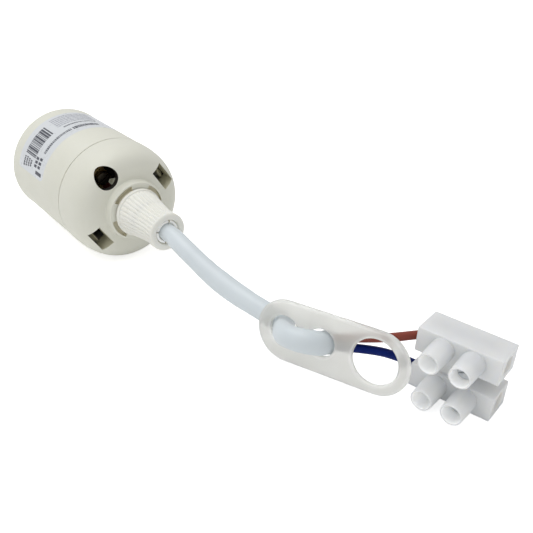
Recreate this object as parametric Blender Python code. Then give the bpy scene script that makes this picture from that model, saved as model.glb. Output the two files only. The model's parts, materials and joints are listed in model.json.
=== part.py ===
"""Pendant lampholder lead: E27 shell, cord grip, cable, hook tag, terminal block.

The row frame is +X along the lampholder's axis from its mouth to the cord,
+Z up, and the origin on that axis at the face of the centre contact, where a
lamp's tip bears.  All sizes below are millimetres, and x is counted from near
the mouth while the pieces are drawn; the last step moves every piece by
-CONTACT_FACE_X.  The whole lead lies on a level surface at z = -TABLE_DROP.
"""
import math

import bmesh
import bpy
from mathutils import Matrix, Vector

for stale in list(bpy.data.objects):
    bpy.data.objects.remove(stale, do_unlink=True)

MM = 0.001
TABLE_DROP = 21.3
CONTACT_FACE_X = 31.0

# Lampholder skirt
MOUTH_X = -0.8
SKIRT_R = 21.0
SKIRT_WALL = 1.7
SKIRT_LENGTH = 40.0
MOUTH_STEP_X = 11.0
WEB_THICKNESS = 2.0
THREAD_TUBE_R = 15.2
THREAD_ROOT_R = 13.4
THREAD_CREST_R = 12.3
THREAD_PITCH = 3.629
THREAD_START_X = 12.0
THREAD_END_X = 33.0
SPIGOT_R = 18.8
SPIGOT_BORE_R = 17.6
SPIGOT_END_X = 43.6

# Dome cap
CAP_R = 21.25
CAP_START_X = 40.35
DOME_HEIGHT = 15.0
DOME_TOP_R = 11.0
DOME_POWER = 3.36
CAP_WALL = 2.0
BOSS_R = 10.85
BOSS_TOP_R = 10.55
BOSS_HEIGHT = 3.05
OPENING_ANGLES = (55.0, 235.0)
HOLE_ANGLES = (-35.0, 145.0)
ARC_ANGLES = (-35.0, 55.0, 145.0, 235.0)
HOLE_R = 3.95
HOLE_AT_R = 15.8
OPENING_LOW_R = 13.3
OPENING_HIGH_R = 18.0
OPENING_HALF_WIDTH = 4.4
WELL_WALL = 1.2
WELL_DEPTH = 6.0
ARC_LOW_R = 8.9
ARC_HIGH_R = 10.0
ARC_HALF_SPAN = 24.5
ARC_DEPTH = 1.8
NECK_R = 6.5
NECK_BORE_R = 5.05
NECK_END_X = 66.4

# Cord grip nut and collet
NUT_START_X = 58.9
NUT_END_X = 78.5
NUT_RIBS = 32
COLLET_START_X = 60.5
COLLET_END_X = 77.7
COLLET_BORE_R = 3.3

# Cable
CABLE_R = 3.12
CORE_R = 1.32
CORES_APART = 2.84
COPPER_R = 0.6
CUP_CLEARANCE = 0.2
SWING_PIVOT = (88.0, 0.25, -1.75)
LIFT_PIVOT = (108.0, 3.2, -7.7)
CABLE_START_X = 52.0

# Hook tag: centre, long direction, front normal
TAG_CENTRE = (149.65, 7.94, -7.57)
TAG_LONG = (0.951, 0.304, 0.055)
TAG_FRONT = (0.294, -0.945, 0.143)
TAG_END_R = 9.45
TAG_CENTRES_APART = 28.4
TAG_THICKNESS = 1.6
TAG_HOOK_R = 6.75
TAG_HOOK_AT = 27.7
TAG_LEFT_HOLE_R = 4.6
TAG_RIGHT_HOLE_R = 4.35
TAG_LEFT_HOLE_AT = -0.7
TAG_HOLES_APART = 12.0
# Weave of the cable: middle of the arch, half chord, height over and behind
WEAVE_CENTRE = -9.0
WEAVE_HALF_CHORD = 6.4
WEAVE_LOW = -4.5
WEAVE_HIGH = 4.55
WEAVE_RISE = math.radians(75.0)
# How far the cable wanders across the tag: (along, across)
WEAVE_WANDER = (
    (-15.8, 0.0),
    (-13.0, 0.4),
    (-10.0, 0.78),
    (-6.5, 0.75),
    (-4.2, 0.5),
    (-3.0, 0.1),
    (-1.5, -0.25),
)

# Terminal block: front upper corner, heading of its long side
BLOCK_CORNER = (163.27, 27.68, -1.44)
BLOCK_HEADING = math.radians(12.7)
BLOCK_LENGTH = 24.25
BLOCK_DEPTH = 10.65
BLOCK_HEIGHT = 7.35
POLE_PITCH = 12.28
TURRET_R = 3.5
TURRET_END_R = 3.2
TURRET_BORE_R = 2.55
TURRET_LENGTH = 8.9
TURRET_AT = (7.9, 16.8)
PASSAGE_R = 2.75
CLAMP_TUBE_R = 2.6
CLAMP_TUBE_BORE_R = 1.7
CLAMP_TUBE_LENGTH = 18.0
WEB_LOW = 7.5
WEB_HIGH = 17.0
MOUNT_HOLE_R = 1.65
BLOCK_SCREW_R = 1.45
BLOCK_SCREW_LENGTH = 9.3
SCREW_TOPS = (-4.7, -6.4)

PARTS = bpy.data.collections.new("pendant_lampholder_lead")
CUTTERS = bpy.data.collections.new("cutters")
bpy.context.scene.collection.children.link(PARTS)
bpy.context.scene.collection.children.link(CUTTERS)


# ---------------------------------------------------------------- materials
def material(name, colour, roughness, metallic=0.0):
    """Return a Principled material, made once per name."""
    found = bpy.data.materials.get(name)
    if found:
        return found
    made = bpy.data.materials.new(name)
    made.use_nodes = True
    shader = made.node_tree.nodes["Principled BSDF"]
    shader.inputs["Base Color"].default_value = (*colour, 1.0)
    shader.inputs["Roughness"].default_value = roughness
    shader.inputs["Metallic"].default_value = metallic
    return made


def ivory():
    return material("ivory_plastic", (0.80, 0.79, 0.71), 0.5)


def warm_white():
    return material("warm_white_plastic", (0.86, 0.85, 0.80), 0.5)


def cable_white():
    return material("cable_white_pvc", (0.74, 0.78, 0.82), 0.45)


def frosted():
    return material("frosted_plate", (0.78, 0.79, 0.77), 0.5)


def block_white():
    return material("natural_polyamide", (0.80, 0.82, 0.83), 0.45)


def carrier_brown():
    return material("moulded_carrier", (0.30, 0.20, 0.13), 0.55)


def label_white():
    return material("label_film", (0.82, 0.84, 0.88), 0.4)


def brass():
    return material("brass", (0.78, 0.60, 0.30), 0.3, 1.0)


def steel():
    return material("zinc_plated_steel", (0.66, 0.67, 0.69), 0.3, 1.0)


def copper():
    return material("copper", (0.80, 0.45, 0.30), 0.3, 1.0)


def brown_pvc():
    return material("brown_insulation", (0.30, 0.08, 0.05), 0.45)


def blue_pvc():
    return material("blue_insulation", (0.01, 0.03, 0.22), 0.4)


# ---------------------------------------------------------------- mesh tools
def finish_mesh(name, work, surface=None, collection=None):
    """Turn a bmesh drawn in millimetres into a named object in metres."""
    bmesh.ops.remove_doubles(work, verts=work.verts, dist=1e-4)
    bmesh.ops.recalc_face_normals(work, faces=work.faces)
    bmesh.ops.scale(work, vec=(MM, MM, MM), verts=work.verts)
    mesh = bpy.data.meshes.new(name)
    work.to_mesh(mesh)
    work.free()
    made = bpy.data.objects.new(name, mesh)
    (collection or PARTS).objects.link(made)
    if surface:
        mesh.materials.append(surface)
    if collection is CUTTERS:
        made.hide_render = True
        made.display_type = "WIRE"
    return made


def around_x(x, r, angle):
    """Point at distance r from the X axis; angle runs from +Z towards +Y."""
    return Vector((x, r * math.sin(angle), r * math.cos(angle)))


def loop_lathe(name, section, segments, surface=None, collection=None, radius=None):
    """Turn a closed section of (x, r) points about X; a ring-like solid."""
    work = bmesh.new()
    rings = []
    for index, (x, r) in enumerate(section):
        ring = []
        for k in range(segments):
            angle = 2.0 * math.pi * k / segments
            use = radius(index, x, r, angle) if radius else r
            ring.append(work.verts.new(around_x(x, use, angle)))
        rings.append(ring)
    for i in range(len(rings)):
        here = rings[i]
        after = rings[(i + 1) % len(rings)]
        for k in range(segments):
            n = (k + 1) % segments
            work.faces.new((here[k], here[n], after[n], after[k]))
    return finish_mesh(name, work, surface, collection)


def solid_lathe(name, section, segments, surface=None, collection=None):
    """Turn an open section about X and close it with flat ends."""
    work = bmesh.new()
    rings = []
    for x, r in section:
        ring = [work.verts.new(around_x(x, r, 2.0 * math.pi * k / segments)) for k in range(segments)]
        rings.append(ring)
    for here, after in zip(rings, rings[1:]):
        for k in range(segments):
            n = (k + 1) % segments
            work.faces.new((here[k], here[n], after[n], after[k]))
    work.faces.new(rings[0])
    work.faces.new(rings[-1])
    return finish_mesh(name, work, surface, collection)


def box(name, low, high, surface=None, collection=None, place=None):
    """Axis-aligned box between two corners, then moved by an optional matrix."""
    work = bmesh.new()
    bmesh.ops.create_cube(work, size=1.0)
    size = Vector(high) - Vector(low)
    middle = (Vector(high) + Vector(low)) / 2.0
    for vert in work.verts:
        vert.co = Vector((vert.co.x * size.x, vert.co.y * size.y, vert.co.z * size.z)) + middle
    if place is not None:
        work.transform(place)
    return finish_mesh(name, work, surface, collection)


def rod(name, start, end, r, segments, surface=None, collection=None, end_r=None):
    """Round rod between two points, tapered if its end radius is given."""
    start, end = Vector(start), Vector(end)
    along = end - start
    work = bmesh.new()
    tip = r if end_r is None else end_r
    depth = along.length
    bmesh.ops.create_cone(work, cap_ends=True, segments=segments, radius1=r, radius2=tip, depth=depth)
    turn = Vector((0, 0, 1)).rotation_difference(along).to_matrix().to_4x4()
    work.transform(Matrix.Translation((start + end) / 2.0) @ turn)
    return finish_mesh(name, work, surface, collection)


def boolean(target, tool, operation, keep_tool=False):
    """Apply an exact Boolean and bake the result into the target's mesh."""
    change = target.modifiers.new(operation.lower(), "BOOLEAN")
    change.operation = operation
    change.solver = "EXACT"
    change.object = tool
    bpy.context.view_layer.update()
    graph = bpy.context.evaluated_depsgraph_get()
    result = bpy.data.meshes.new_from_object(target.evaluated_get(graph))
    result.name = target.name
    target.modifiers.clear()
    target.data = result
    if not keep_tool:
        bpy.data.objects.remove(tool, do_unlink=True)
    return target


def cut(target, tool):
    return boolean(target, tool, "DIFFERENCE")


def join(target, tool):
    return boolean(target, tool, "UNION")


def smooth_path(points, step):
    """Catmull-Rom curve through the points, sampled about every step mm."""
    knots = [Vector(p) for p in points]
    knots = [2.0 * knots[0] - knots[1]] + knots + [2.0 * knots[-1] - knots[-2]]
    path = []
    for i in range(1, len(knots) - 2):
        a, b, c, d = knots[i - 1], knots[i], knots[i + 1], knots[i + 2]
        count = max(1, round((c - b).length / step))
        for k in range(count):
            t = k / count
            path.append(
                0.5
                * (
                    2.0 * b
                    + (c - a) * t
                    + (2.0 * a - 5.0 * b + 4.0 * c - d) * t * t
                    + (3.0 * b - a - 3.0 * c + d) * t * t * t
                )
            )
    path.append(knots[-2])
    return path


def end_rings(kind, r):
    """(offset along the cable, radius) of the rings that close an end."""
    if kind == "ball":
        return [(r * math.sin(math.radians(t)), r * math.cos(math.radians(t))) for t in (22, 45, 68)]
    if kind == "cup":
        cup = r + CUP_CLEARANCE
        rim = math.asin(math.sqrt(cup * cup - r * r) / cup)
        steps = [rim + (math.pi / 2 - rim) * f for f in (0.33, 0.67)]
        return [(cup * math.sin(rim), r)] + [(cup * math.sin(t), cup * math.cos(t)) for t in steps]
    return []


def end_tip(kind, r):
    if kind == "ball":
        return r
    if kind == "cup":
        return r + CUP_CLEARANCE
    return 0.0


def cable(name, path, r, sides, surface, first="flat", last="flat"):
    """Sweep a round section along a path; ends are flat, a ball or a cup.

    The path's end point is the centre of a ball or cup.
    """
    tangents = []
    for i in range(len(path)):
        before = path[max(i - 1, 0)]
        after = path[min(i + 1, len(path) - 1)]
        tangents.append((after - before).normalized())
    stations = [(p, t, r) for p, t in zip(path, tangents)]
    if first == "cup":
        stations = [s for s in stations if (s[0] - path[0]).dot(tangents[0]) > 1.3]
    if last == "cup":
        stations = [s for s in stations if (path[-1] - s[0]).dot(tangents[-1]) > 1.3]
    inward = 1.0 if first == "cup" else -1.0
    head = [(path[0] + tangents[0] * off * inward, tangents[0], rr) for off, rr in end_rings(first, r)]
    outward = -1.0 if last == "cup" else 1.0
    tail = [(path[-1] + tangents[-1] * off * outward, tangents[-1], rr) for off, rr in end_rings(last, r)]
    stations = list(reversed(head)) + stations + tail
    work = bmesh.new()
    side = tangents[0].orthogonal().normalized()
    rings = []
    for centre, along, radius in stations:
        side = (side - along * side.dot(along)).normalized()
        other = along.cross(side)
        ring = []
        for k in range(sides):
            angle = 2.0 * math.pi * k / sides
            spoke = side * math.cos(angle) + other * math.sin(angle)
            ring.append(work.verts.new(centre + spoke * radius))
        rings.append(ring)
    for here, after in zip(rings, rings[1:]):
        for k in range(sides):
            n = (k + 1) % sides
            work.faces.new((here[k], here[n], after[n], after[k]))
    for ring, kind, base, along, sign in (
        (rings[0], first, path[0], tangents[0], inward),
        (rings[-1], last, path[-1], tangents[-1], outward),
    ):
        if kind == "flat":
            work.faces.new(ring)
            continue
        tip = work.verts.new(base + along * end_tip(kind, r) * sign)
        for k in range(sides):
            work.faces.new((ring[k], ring[(k + 1) % sides], tip))
    return finish_mesh(name, work, surface)


# ---------------------------------------------------------------- lampholder
def skirt_shell():
    """Outer skirt, web, and the inner tube with the moulded lamp thread."""
    inner = SKIRT_R - SKIRT_WALL
    front = [(MOUTH_X + 0.5, SKIRT_R + 0.15), (MOUTH_X, SKIRT_R - 0.3)]
    front += [(MOUTH_X, inner + 0.6), (MOUTH_X + 0.5, inner + 0.2)]
    section = [(SKIRT_LENGTH, SKIRT_R - 0.05), (4.0, SKIRT_R)] + front
    section += [(MOUTH_STEP_X, inner - 0.2), (MOUTH_STEP_X, THREAD_ROOT_R + 0.5)]
    rows = int(round((THREAD_END_X - THREAD_START_X) / THREAD_PITCH * 4))
    first_thread = len(section)
    for k in range(rows + 1):
        section.append((THREAD_START_X + THREAD_PITCH * k / 4.0, THREAD_ROOT_R))
    last_thread = len(section) - 1
    section += [(THREAD_END_X + 1.2, THREAD_ROOT_R + 0.3), (THREAD_END_X + 1.2, THREAD_TUBE_R)]
    web_back = MOUTH_STEP_X + WEB_THICKNESS
    section += [(web_back, THREAD_TUBE_R), (web_back, inner - 0.4)]
    section += [(SKIRT_LENGTH - 1.6, SPIGOT_BORE_R), (SPIGOT_END_X, SPIGOT_BORE_R)]
    section += [(SPIGOT_END_X, SPIGOT_R), (SKIRT_LENGTH, SPIGOT_R)]

    def thread(index, x, r, angle):
        if index <= first_thread or index >= last_thread:
            return r
        phase = (x / THREAD_PITCH - angle / (2.0 * math.pi)) * 2.0 * math.pi
        lift = min(1.0, (index - first_thread) / 2.0, (last_thread - index) / 2.0)
        return r - (THREAD_ROOT_R - THREAD_CREST_R) * lift * (0.5 + 0.5 * math.cos(phase))

    made = loop_lathe("skirt_shell", section, 40, ivory(), radius=thread)
    for angle in OPENING_ANGLES:
        made = join(made, latch_arm(angle))
    return made


def turned(angle):
    """Matrix taking local Z to the direction at this angle about X."""
    return Matrix.Rotation(-math.radians(angle), 4, "X")


def latch_arm(angle):
    """Snap arm that reaches from the spigot into a dome opening."""
    work = bmesh.new()
    outline = [(42.0, 16.0), (48.6, 16.0), (49.8, 16.4), (47.2, 18.0), (45.6, 18.0)]
    outline += [(45.0, 18.3), (42.0, 18.3)]
    left = [work.verts.new((x, -3.4, z)) for x, z in outline]
    right = [work.verts.new((x, 3.4, z)) for x, z in outline]
    work.faces.new(left)
    work.faces.new(right)
    for k in range(len(outline)):
        n = (k + 1) % len(outline)
        work.faces.new((left[k], left[n], right[n], right[k]))
    work.transform(turned(angle))
    return finish_mesh("latch_arm", work)


def dome_radius(x):
    """Outer radius of the dome at this distance along the axis."""
    t = min(max((x - CAP_START_X) / DOME_HEIGHT, 0.0), 1.0)
    return DOME_TOP_R + (CAP_R - DOME_TOP_R) * max(1.0 - t ** DOME_POWER, 0.0) ** (1.0 / DOME_POWER)


def dome_section(offset, samples):
    """Points of the dome's outline, moved inward by an offset."""
    points = []
    for k in range(samples + 1):
        t = math.sin(math.pi / 2.0 * k / samples) ** 0.8
        x = CAP_START_X + DOME_HEIGHT * t
        r = dome_radius(x) - offset
        points.append((x - offset * t ** 6, r))
    return points


def dome_cap():
    """Domed rear cap with its boss, threaded neck, openings and wells."""
    crown = CAP_START_X + DOME_HEIGHT
    outer = [(CAP_START_X, CAP_R - 0.4)] + dome_section(0.0, 9)
    outer[1] = (CAP_START_X + 0.4, CAP_R)
    outer += [(crown + 0.45, BOSS_R), (crown + BOSS_HEIGHT - 0.2, BOSS_TOP_R)]
    outer += [(crown + BOSS_HEIGHT, BOSS_TOP_R - 0.2)]
    outer += [(crown + BOSS_HEIGHT, NECK_R), (NECK_END_X, NECK_R)]
    made = solid_lathe("dome_cap", outer, 48, ivory())
    hollow = [(CAP_START_X - 1.0, CAP_R - CAP_WALL)] + dome_section(CAP_WALL, 6)
    cavity = solid_lathe("cavity", hollow, 48, None, CUTTERS)
    for angle in OPENING_ANGLES:
        low = (crown - WELL_DEPTH - 1.6, -OPENING_HALF_WIDTH - WELL_WALL, OPENING_LOW_R - WELL_WALL)
        high = (crown + 3.0, OPENING_HALF_WIDTH + WELL_WALL, OPENING_HIGH_R + WELL_WALL)
        cavity = cut(cavity, box("well", low, high, None, CUTTERS, turned(angle)))
    made = cut(made, cavity)
    for angle in OPENING_ANGLES:
        low = (crown - 12.0, -OPENING_HALF_WIDTH, OPENING_LOW_R)
        high = (crown + 4.0, OPENING_HALF_WIDTH, OPENING_HIGH_R)
        made = cut(made, box("opening", low, high, None, CUTTERS, turned(angle)))
    for angle in HOLE_ANGLES:
        start = around_x(crown - 8.0, HOLE_AT_R, math.radians(angle))
        end = around_x(crown + 4.0, HOLE_AT_R, math.radians(angle))
        made = cut(made, rod("round_hole", start, end, HOLE_R, 28, None, CUTTERS))
    for angle in ARC_ANGLES:
        made = cut(made, arc_cutter(angle, crown))
    ends = [(crown - 6.0, NECK_BORE_R), (NECK_END_X + 1.0, NECK_BORE_R)]
    bore = solid_lathe("neck_bore", ends, 28, None, CUTTERS)
    return cut(made, bore)


def arc_cutter(angle, crown):
    """Curved slot in the boss, beside the nut."""
    low = crown + BOSS_HEIGHT - ARC_DEPTH
    high = crown + BOSS_HEIGHT + 1.0
    work = bmesh.new()
    steps = 8
    rings = []
    for k in range(steps + 1):
        at = math.radians(angle - ARC_HALF_SPAN + 2.0 * ARC_HALF_SPAN * k / steps)
        ring = []
        for x, r in ((low, ARC_LOW_R), (high, ARC_LOW_R), (high, ARC_HIGH_R), (low, ARC_HIGH_R)):
            ring.append(work.verts.new(around_x(x, r, at)))
        rings.append(ring)
    for here, after in zip(rings, rings[1:]):
        for k in range(4):
            n = (k + 1) % 4
            work.faces.new((here[k], here[n], after[n], after[k]))
    work.faces.new(rings[0])
    work.faces.new(rings[-1])
    return finish_mesh("arc", work, None, CUTTERS)


def contact_carrier():
    """Moulded disc that holds the contacts behind the thread."""
    section = [(34.6, 12.0), (34.6, 15.6), (38.2, 15.6), (38.2, 12.0), (40.0, 12.0)]
    section += [(40.0, 6.0), (34.6, 6.0)]
    return loop_lathe("contact_carrier", section, 32, carrier_brown())


def centre_contact():
    """Sprung tongue that touches the lamp's centre tip."""
    work = bmesh.new()
    face = CONTACT_FACE_X
    outline = [(34.3, 9.6), (33.9, 9.6), (33.5, 4.0), (face, 1.2), (face, -1.6), (31.8, -3.2)]
    under = [(32.25, -2.9), (face + 0.5, -1.5), (face + 0.5, 0.95), (33.95, 3.75)]
    loop = outline + under
    left = [work.verts.new((x, -2.6, z)) for x, z in loop]
    right = [work.verts.new((x, 2.6, z)) for x, z in loop]
    work.faces.new(left)
    work.faces.new(right)
    for k in range(len(loop)):
        n = (k + 1) % len(loop)
        work.faces.new((left[k], left[n], right[n], right[k]))
    work.transform(turned(-35.0))
    return finish_mesh("centre_contact", work, brass())


def side_contact():
    """Sprung tongue that touches the lamp's threaded shell."""
    work = bmesh.new()
    loop = [(34.3, 9.0), (34.3, 11.4), (30.6, 11.9), (28.6, 11.2)]
    loop += [(28.5, 10.8), (30.6, 11.45), (33.8, 10.9), (33.8, 9.0)]
    left = [work.verts.new((x, -2.0, z)) for x, z in loop]
    right = [work.verts.new((x, 2.0, z)) for x, z in loop]
    work.faces.new(left)
    work.faces.new(right)
    for k in range(len(loop)):
        n = (k + 1) % len(loop)
        work.faces.new((left[k], left[n], right[n], right[k]))
    work.transform(turned(145.0))
    return finish_mesh("side_contact", work, brass())


def holder_clamp(name, angle):
    """Brass block with a radial wire bore and a screw hole facing the dome."""
    place = turned(angle)
    made = box(name, (40.4, -3.0, 9.6), (46.4, 3.0, 15.8), brass(), None, place)
    start = place @ Vector((43.2, 0.0, 8.0))
    end = place @ Vector((43.2, 0.0, 14.4))
    made = cut(made, rod("wire_bore", start, end, 0.85, 12, None, CUTTERS))
    start = place @ Vector((43.6, 0.0, 12.6))
    end = place @ Vector((48.0, 0.0, 12.6))
    return cut(made, rod("screw_hole", start, end, 1.35, 16, None, CUTTERS))


def slotted_screw(name, start, along, shank_r, shank, head_r, head, slot_side):
    """Cheese-head screw; along points from its tip to its head."""
    along = Vector(along).normalized()
    start = Vector(start)
    neck = start + along * shank
    top = neck + along * head
    work = bmesh.new()
    side = Vector(slot_side).normalized()
    other = along.cross(side)
    rings = []
    stations = [(start, shank_r * 0.8), (start + along * 0.25, shank_r), (neck, shank_r)]
    if head_r > shank_r:
        stations += [(neck, head_r), (top - along * 0.2, head_r), (top, head_r - 0.2)]
    else:
        stations += [(top - along * 0.2, shank_r), (top, shank_r - 0.2)]
    for centre, r in stations:
        ring = []
        for k in range(16):
            angle = 2.0 * math.pi * k / 16
            ring.append(work.verts.new(centre + (side * math.cos(angle) + other * math.sin(angle)) * r))
        rings.append(ring)
    for here, after in zip(rings, rings[1:]):
        for k in range(16):
            n = (k + 1) % 16
            work.faces.new((here[k], here[n], after[n], after[k]))
    work.faces.new(rings[0])
    work.faces.new(rings[-1])
    made = finish_mesh(name, work, steel())
    turn = Matrix((side, other, along)).transposed().to_4x4()
    place = Matrix.Translation(top) @ turn
    reach = max(head_r, shank_r) + 0.5
    return cut(made, box("slot", (-reach, -0.25, -0.8), (reach, 0.25, 0.6), None, CUTTERS, place))


def holder_screw(name, angle):
    place = turned(angle)
    start = place @ Vector((44.3, 0.0, 12.6))
    return slotted_screw(name, start, (1, 0, 0), 1.25, 2.7, 2.3, 1.6, place @ Vector((0, 1, 0)))


def cord_grip_nut():
    """Tapered nut with fine ribs, a lip at its base and a rounded end."""
    start, end = NUT_START_X, NUT_END_X
    ribbed = ((start + 1.7, 8.25), (start + 9.0, 7.5), (start + 14.6, 6.7))
    section = [(start, 8.4), (start + 0.25, 8.65), (start + 1.1, 8.65), (start + 1.4, 8.35)]
    section.append((start + 1.5, 7.9))
    first_rib = len(section)
    section += ribbed
    last_rib = len(section) - 1
    section += [(start + 15.0, 6.3), (start + 16.2, 6.5), (start + 18.6, 6.5)]
    section += [(end - 0.35, 6.15), (end, 5.55)]
    section += [(end, 4.65), (end - 0.4, 4.35), (start + 15.2, 4.35)]
    section += [(start + 9.0, 6.85), (start, 6.85)]

    def ribs(index, x, r, angle):
        if index < first_rib or index > last_rib:
            return r
        tooth = round(angle / (2.0 * math.pi) * NUT_RIBS * 2) % 2
        return r - 0.32 * tooth

    return loop_lathe("cord_grip_nut", section, NUT_RIBS * 2, warm_white(), radius=ribs)


def cord_grip_collet():
    """Split sleeve that closes on the cable under the nut's cone."""
    start, end = COLLET_START_X, COLLET_END_X
    section = [(start, 4.75), (NECK_END_X + 0.3, 4.75), (NECK_END_X + 0.5, 6.1), (69.4, 5.4), (72.9, 4.08)]
    section += [(end - 0.3, 4.05), (end, 3.85), (end, 3.55)]
    section += [(end - 0.3, COLLET_BORE_R), (start, COLLET_BORE_R)]
    made = loop_lathe("cord_grip_collet", section, 24, warm_white())
    for angle in (-78.0, 12.0):
        place = turned(angle)
        low = (69.0, -0.25, -7.0)
        high = (end + 1.0, 0.25, 7.0)
        made = cut(made, box("slit", low, high, None, CUTTERS, place))
    return made


def rating_label():
    """Thin film wrapped over the skirt behind the mouth, without print."""
    work = bmesh.new()
    low, high = SKIRT_R + 0.08, SKIRT_R + 0.2
    corners = ((5.0, low), (26.0, low), (26.0, high), (5.0, high))
    steps = 20
    rings = []
    for k in range(steps + 1):
        at = math.radians(-79.0 + 115.0 * k / steps)
        rings.append([work.verts.new(around_x(x, r, at)) for x, r in corners])
    for here, after in zip(rings, rings[1:]):
        for k in range(4):
            n = (k + 1) % 4
            work.faces.new((here[k], here[n], after[n], after[k]))
    work.faces.new(rings[0])
    work.faces.new(rings[-1])
    return finish_mesh("rating_label", work, label_white())


# ---------------------------------------------------------------- tag
def tag_frame():
    """Unit vectors of the tag: along it, across it, and out of its front."""
    front = Vector(TAG_FRONT).normalized()
    along = Vector(TAG_LONG)
    along = (along - front * along.dot(front)).normalized()
    across = front.cross(along)
    return along, across, front


def on_tag(u, w, o):
    """Row point at u along, w across and o in front of the tag's centre."""
    along, across, front = tag_frame()
    return Vector(TAG_CENTRE) + along * u + across * w + front * o


def hook_tag():
    """Flat plate with two cable holes and one large hook hole."""
    curve = bpy.data.curves.new("hook_tag", "CURVE")
    curve.dimensions = "2D"
    curve.fill_mode = "BOTH"
    curve.extrude = TAG_THICKNESS / 2.0 * MM
    half = TAG_CENTRES_APART / 2.0
    outline = []
    steps = 18
    for k in range(steps + 1):
        angle = math.pi / 2.0 + math.pi * k / steps
        outline.append((-half + TAG_END_R * math.cos(angle), TAG_END_R * math.sin(angle)))
    for k in range(steps + 1):
        angle = -math.pi / 2.0 + math.pi * k / steps
        outline.append((half + TAG_END_R * math.cos(angle), TAG_END_R * math.sin(angle)))
    loops = [outline]
    for centre, r, count in (
        (-half + TAG_LEFT_HOLE_AT, TAG_LEFT_HOLE_R, 28),
        (-half + TAG_LEFT_HOLE_AT + TAG_HOLES_APART, TAG_RIGHT_HOLE_R, 28),
        (-half + TAG_HOOK_AT, TAG_HOOK_R, 36),
    ):
        turn = 2.0 * math.pi / count
        loops.append([(centre + r * math.cos(turn * k), r * math.sin(turn * k)) for k in range(count)])
    for loop in loops:
        spline = curve.splines.new("POLY")
        spline.points.add(len(loop) - 1)
        for point, (u, w) in zip(spline.points, loop):
            point.co = (u * MM, w * MM, 0.0, 1.0)
        spline.use_cyclic_u = True
    flat = bpy.data.objects.new("tag_curve", curve)
    CUTTERS.objects.link(flat)
    bpy.context.view_layer.update()
    graph = bpy.context.evaluated_depsgraph_get()
    mesh = bpy.data.meshes.new_from_object(flat.evaluated_get(graph))
    bpy.data.objects.remove(flat, do_unlink=True)
    work = bmesh.new()
    work.from_mesh(mesh)
    along, across, front = tag_frame()
    turn = Matrix((along, across, front)).transposed().to_4x4()
    bmesh.ops.scale(work, vec=(1.0 / MM, 1.0 / MM, 1.0 / MM), verts=work.verts)
    work.transform(Matrix.Translation(Vector(TAG_CENTRE)) @ turn)
    return finish_mesh("hook_tag", work, frosted())


# ---------------------------------------------------------------- cable
def wander(u):
    """Height of the cable across the tag at a place along it."""
    if u <= WEAVE_WANDER[0][0]:
        return WEAVE_WANDER[0][1]
    for (u0, w0), (u1, w1) in zip(WEAVE_WANDER, WEAVE_WANDER[1:]):
        if u <= u1:
            return w0 + (w1 - w0) * (u - u0) / (u1 - u0)
    return WEAVE_WANDER[-1][1]


def weave(steps):
    """Up through one hole of the tag, over the bar, down through the next."""
    r_top = WEAVE_HALF_CHORD / math.sin(WEAVE_RISE)
    shift = WEAVE_HIGH - r_top * (1.0 - math.cos(WEAVE_RISE))
    r_low = (shift - WEAVE_LOW) / (1.0 - math.cos(WEAVE_RISE))
    reach = WEAVE_HALF_CHORD + r_low * math.sin(WEAVE_RISE)
    points = []
    for k in range(steps):
        t = WEAVE_RISE * k / steps
        points.append((r_low * math.sin(t) - reach, WEAVE_LOW + r_low * (1.0 - math.cos(t))))
    for k in range(-steps, steps + 1):
        t = WEAVE_RISE * k / steps
        points.append((r_top * math.sin(t), WEAVE_HIGH - r_top * (1.0 - math.cos(t))))
    for k in range(steps - 1, 3, -1):
        t = WEAVE_RISE * k / steps
        points.append((reach - r_low * math.sin(t), WEAVE_LOW + r_low * (1.0 - math.cos(t))))
    return [on_tag(WEAVE_CENTRE + u, wander(WEAVE_CENTRE + u), o) for u, o in points]


def lead_path():
    """Centre line after the lift pivot: to the tag and through its holes."""
    woven = weave(6)
    approach = [LIFT_PIVOT, (112.6, 4.05, -8.5), (118.2, 4.95, -9.1), (123.2, 5.7, -9.4)]
    return smooth_path(approach + [woven[0]], 2.4) + woven[1:]


def sheath_parts():
    """Cable sheath in three lengths that meet in ball and cup ends."""
    straight = [(CABLE_START_X, 0, 0), (66.0, 0, 0), (80.0, 0, 0), (84.0, 0.03, -0.65)]
    falling = [(93.6, 0.85, -3.5), (98.4, 1.5, -5.1), (102.9, 2.27, -6.5)]
    first = smooth_path(straight + [SWING_PIVOT], 3.5)
    middle = smooth_path([SWING_PIVOT] + falling + [LIFT_PIVOT], 2.2)
    cable("sheath_grip_end", first, CABLE_R, 16, cable_white(), "flat", "ball")
    cable("sheath_middle", middle, CABLE_R, 16, cable_white(), "cup", "ball")
    cable("sheath_tag_end", lead_path(), CABLE_R, 16, cable_white(), "cup", "flat")


def block_point(along, back, up):
    """Row point in the terminal block's own frame."""
    direction = Vector((math.cos(BLOCK_HEADING), math.sin(BLOCK_HEADING), 0.0))
    behind = Vector((-math.sin(BLOCK_HEADING), math.cos(BLOCK_HEADING), 0.0))
    return Vector(BLOCK_CORNER) + direction * along + behind * back + Vector((0, 0, up))


def block_place():
    return Matrix.Translation(Vector(BLOCK_CORNER)) @ Matrix.Rotation(BLOCK_HEADING, 4, "Z")


def pole_height(pole):
    return -BLOCK_HEIGHT / 2.0 - POLE_PITCH * pole


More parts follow.
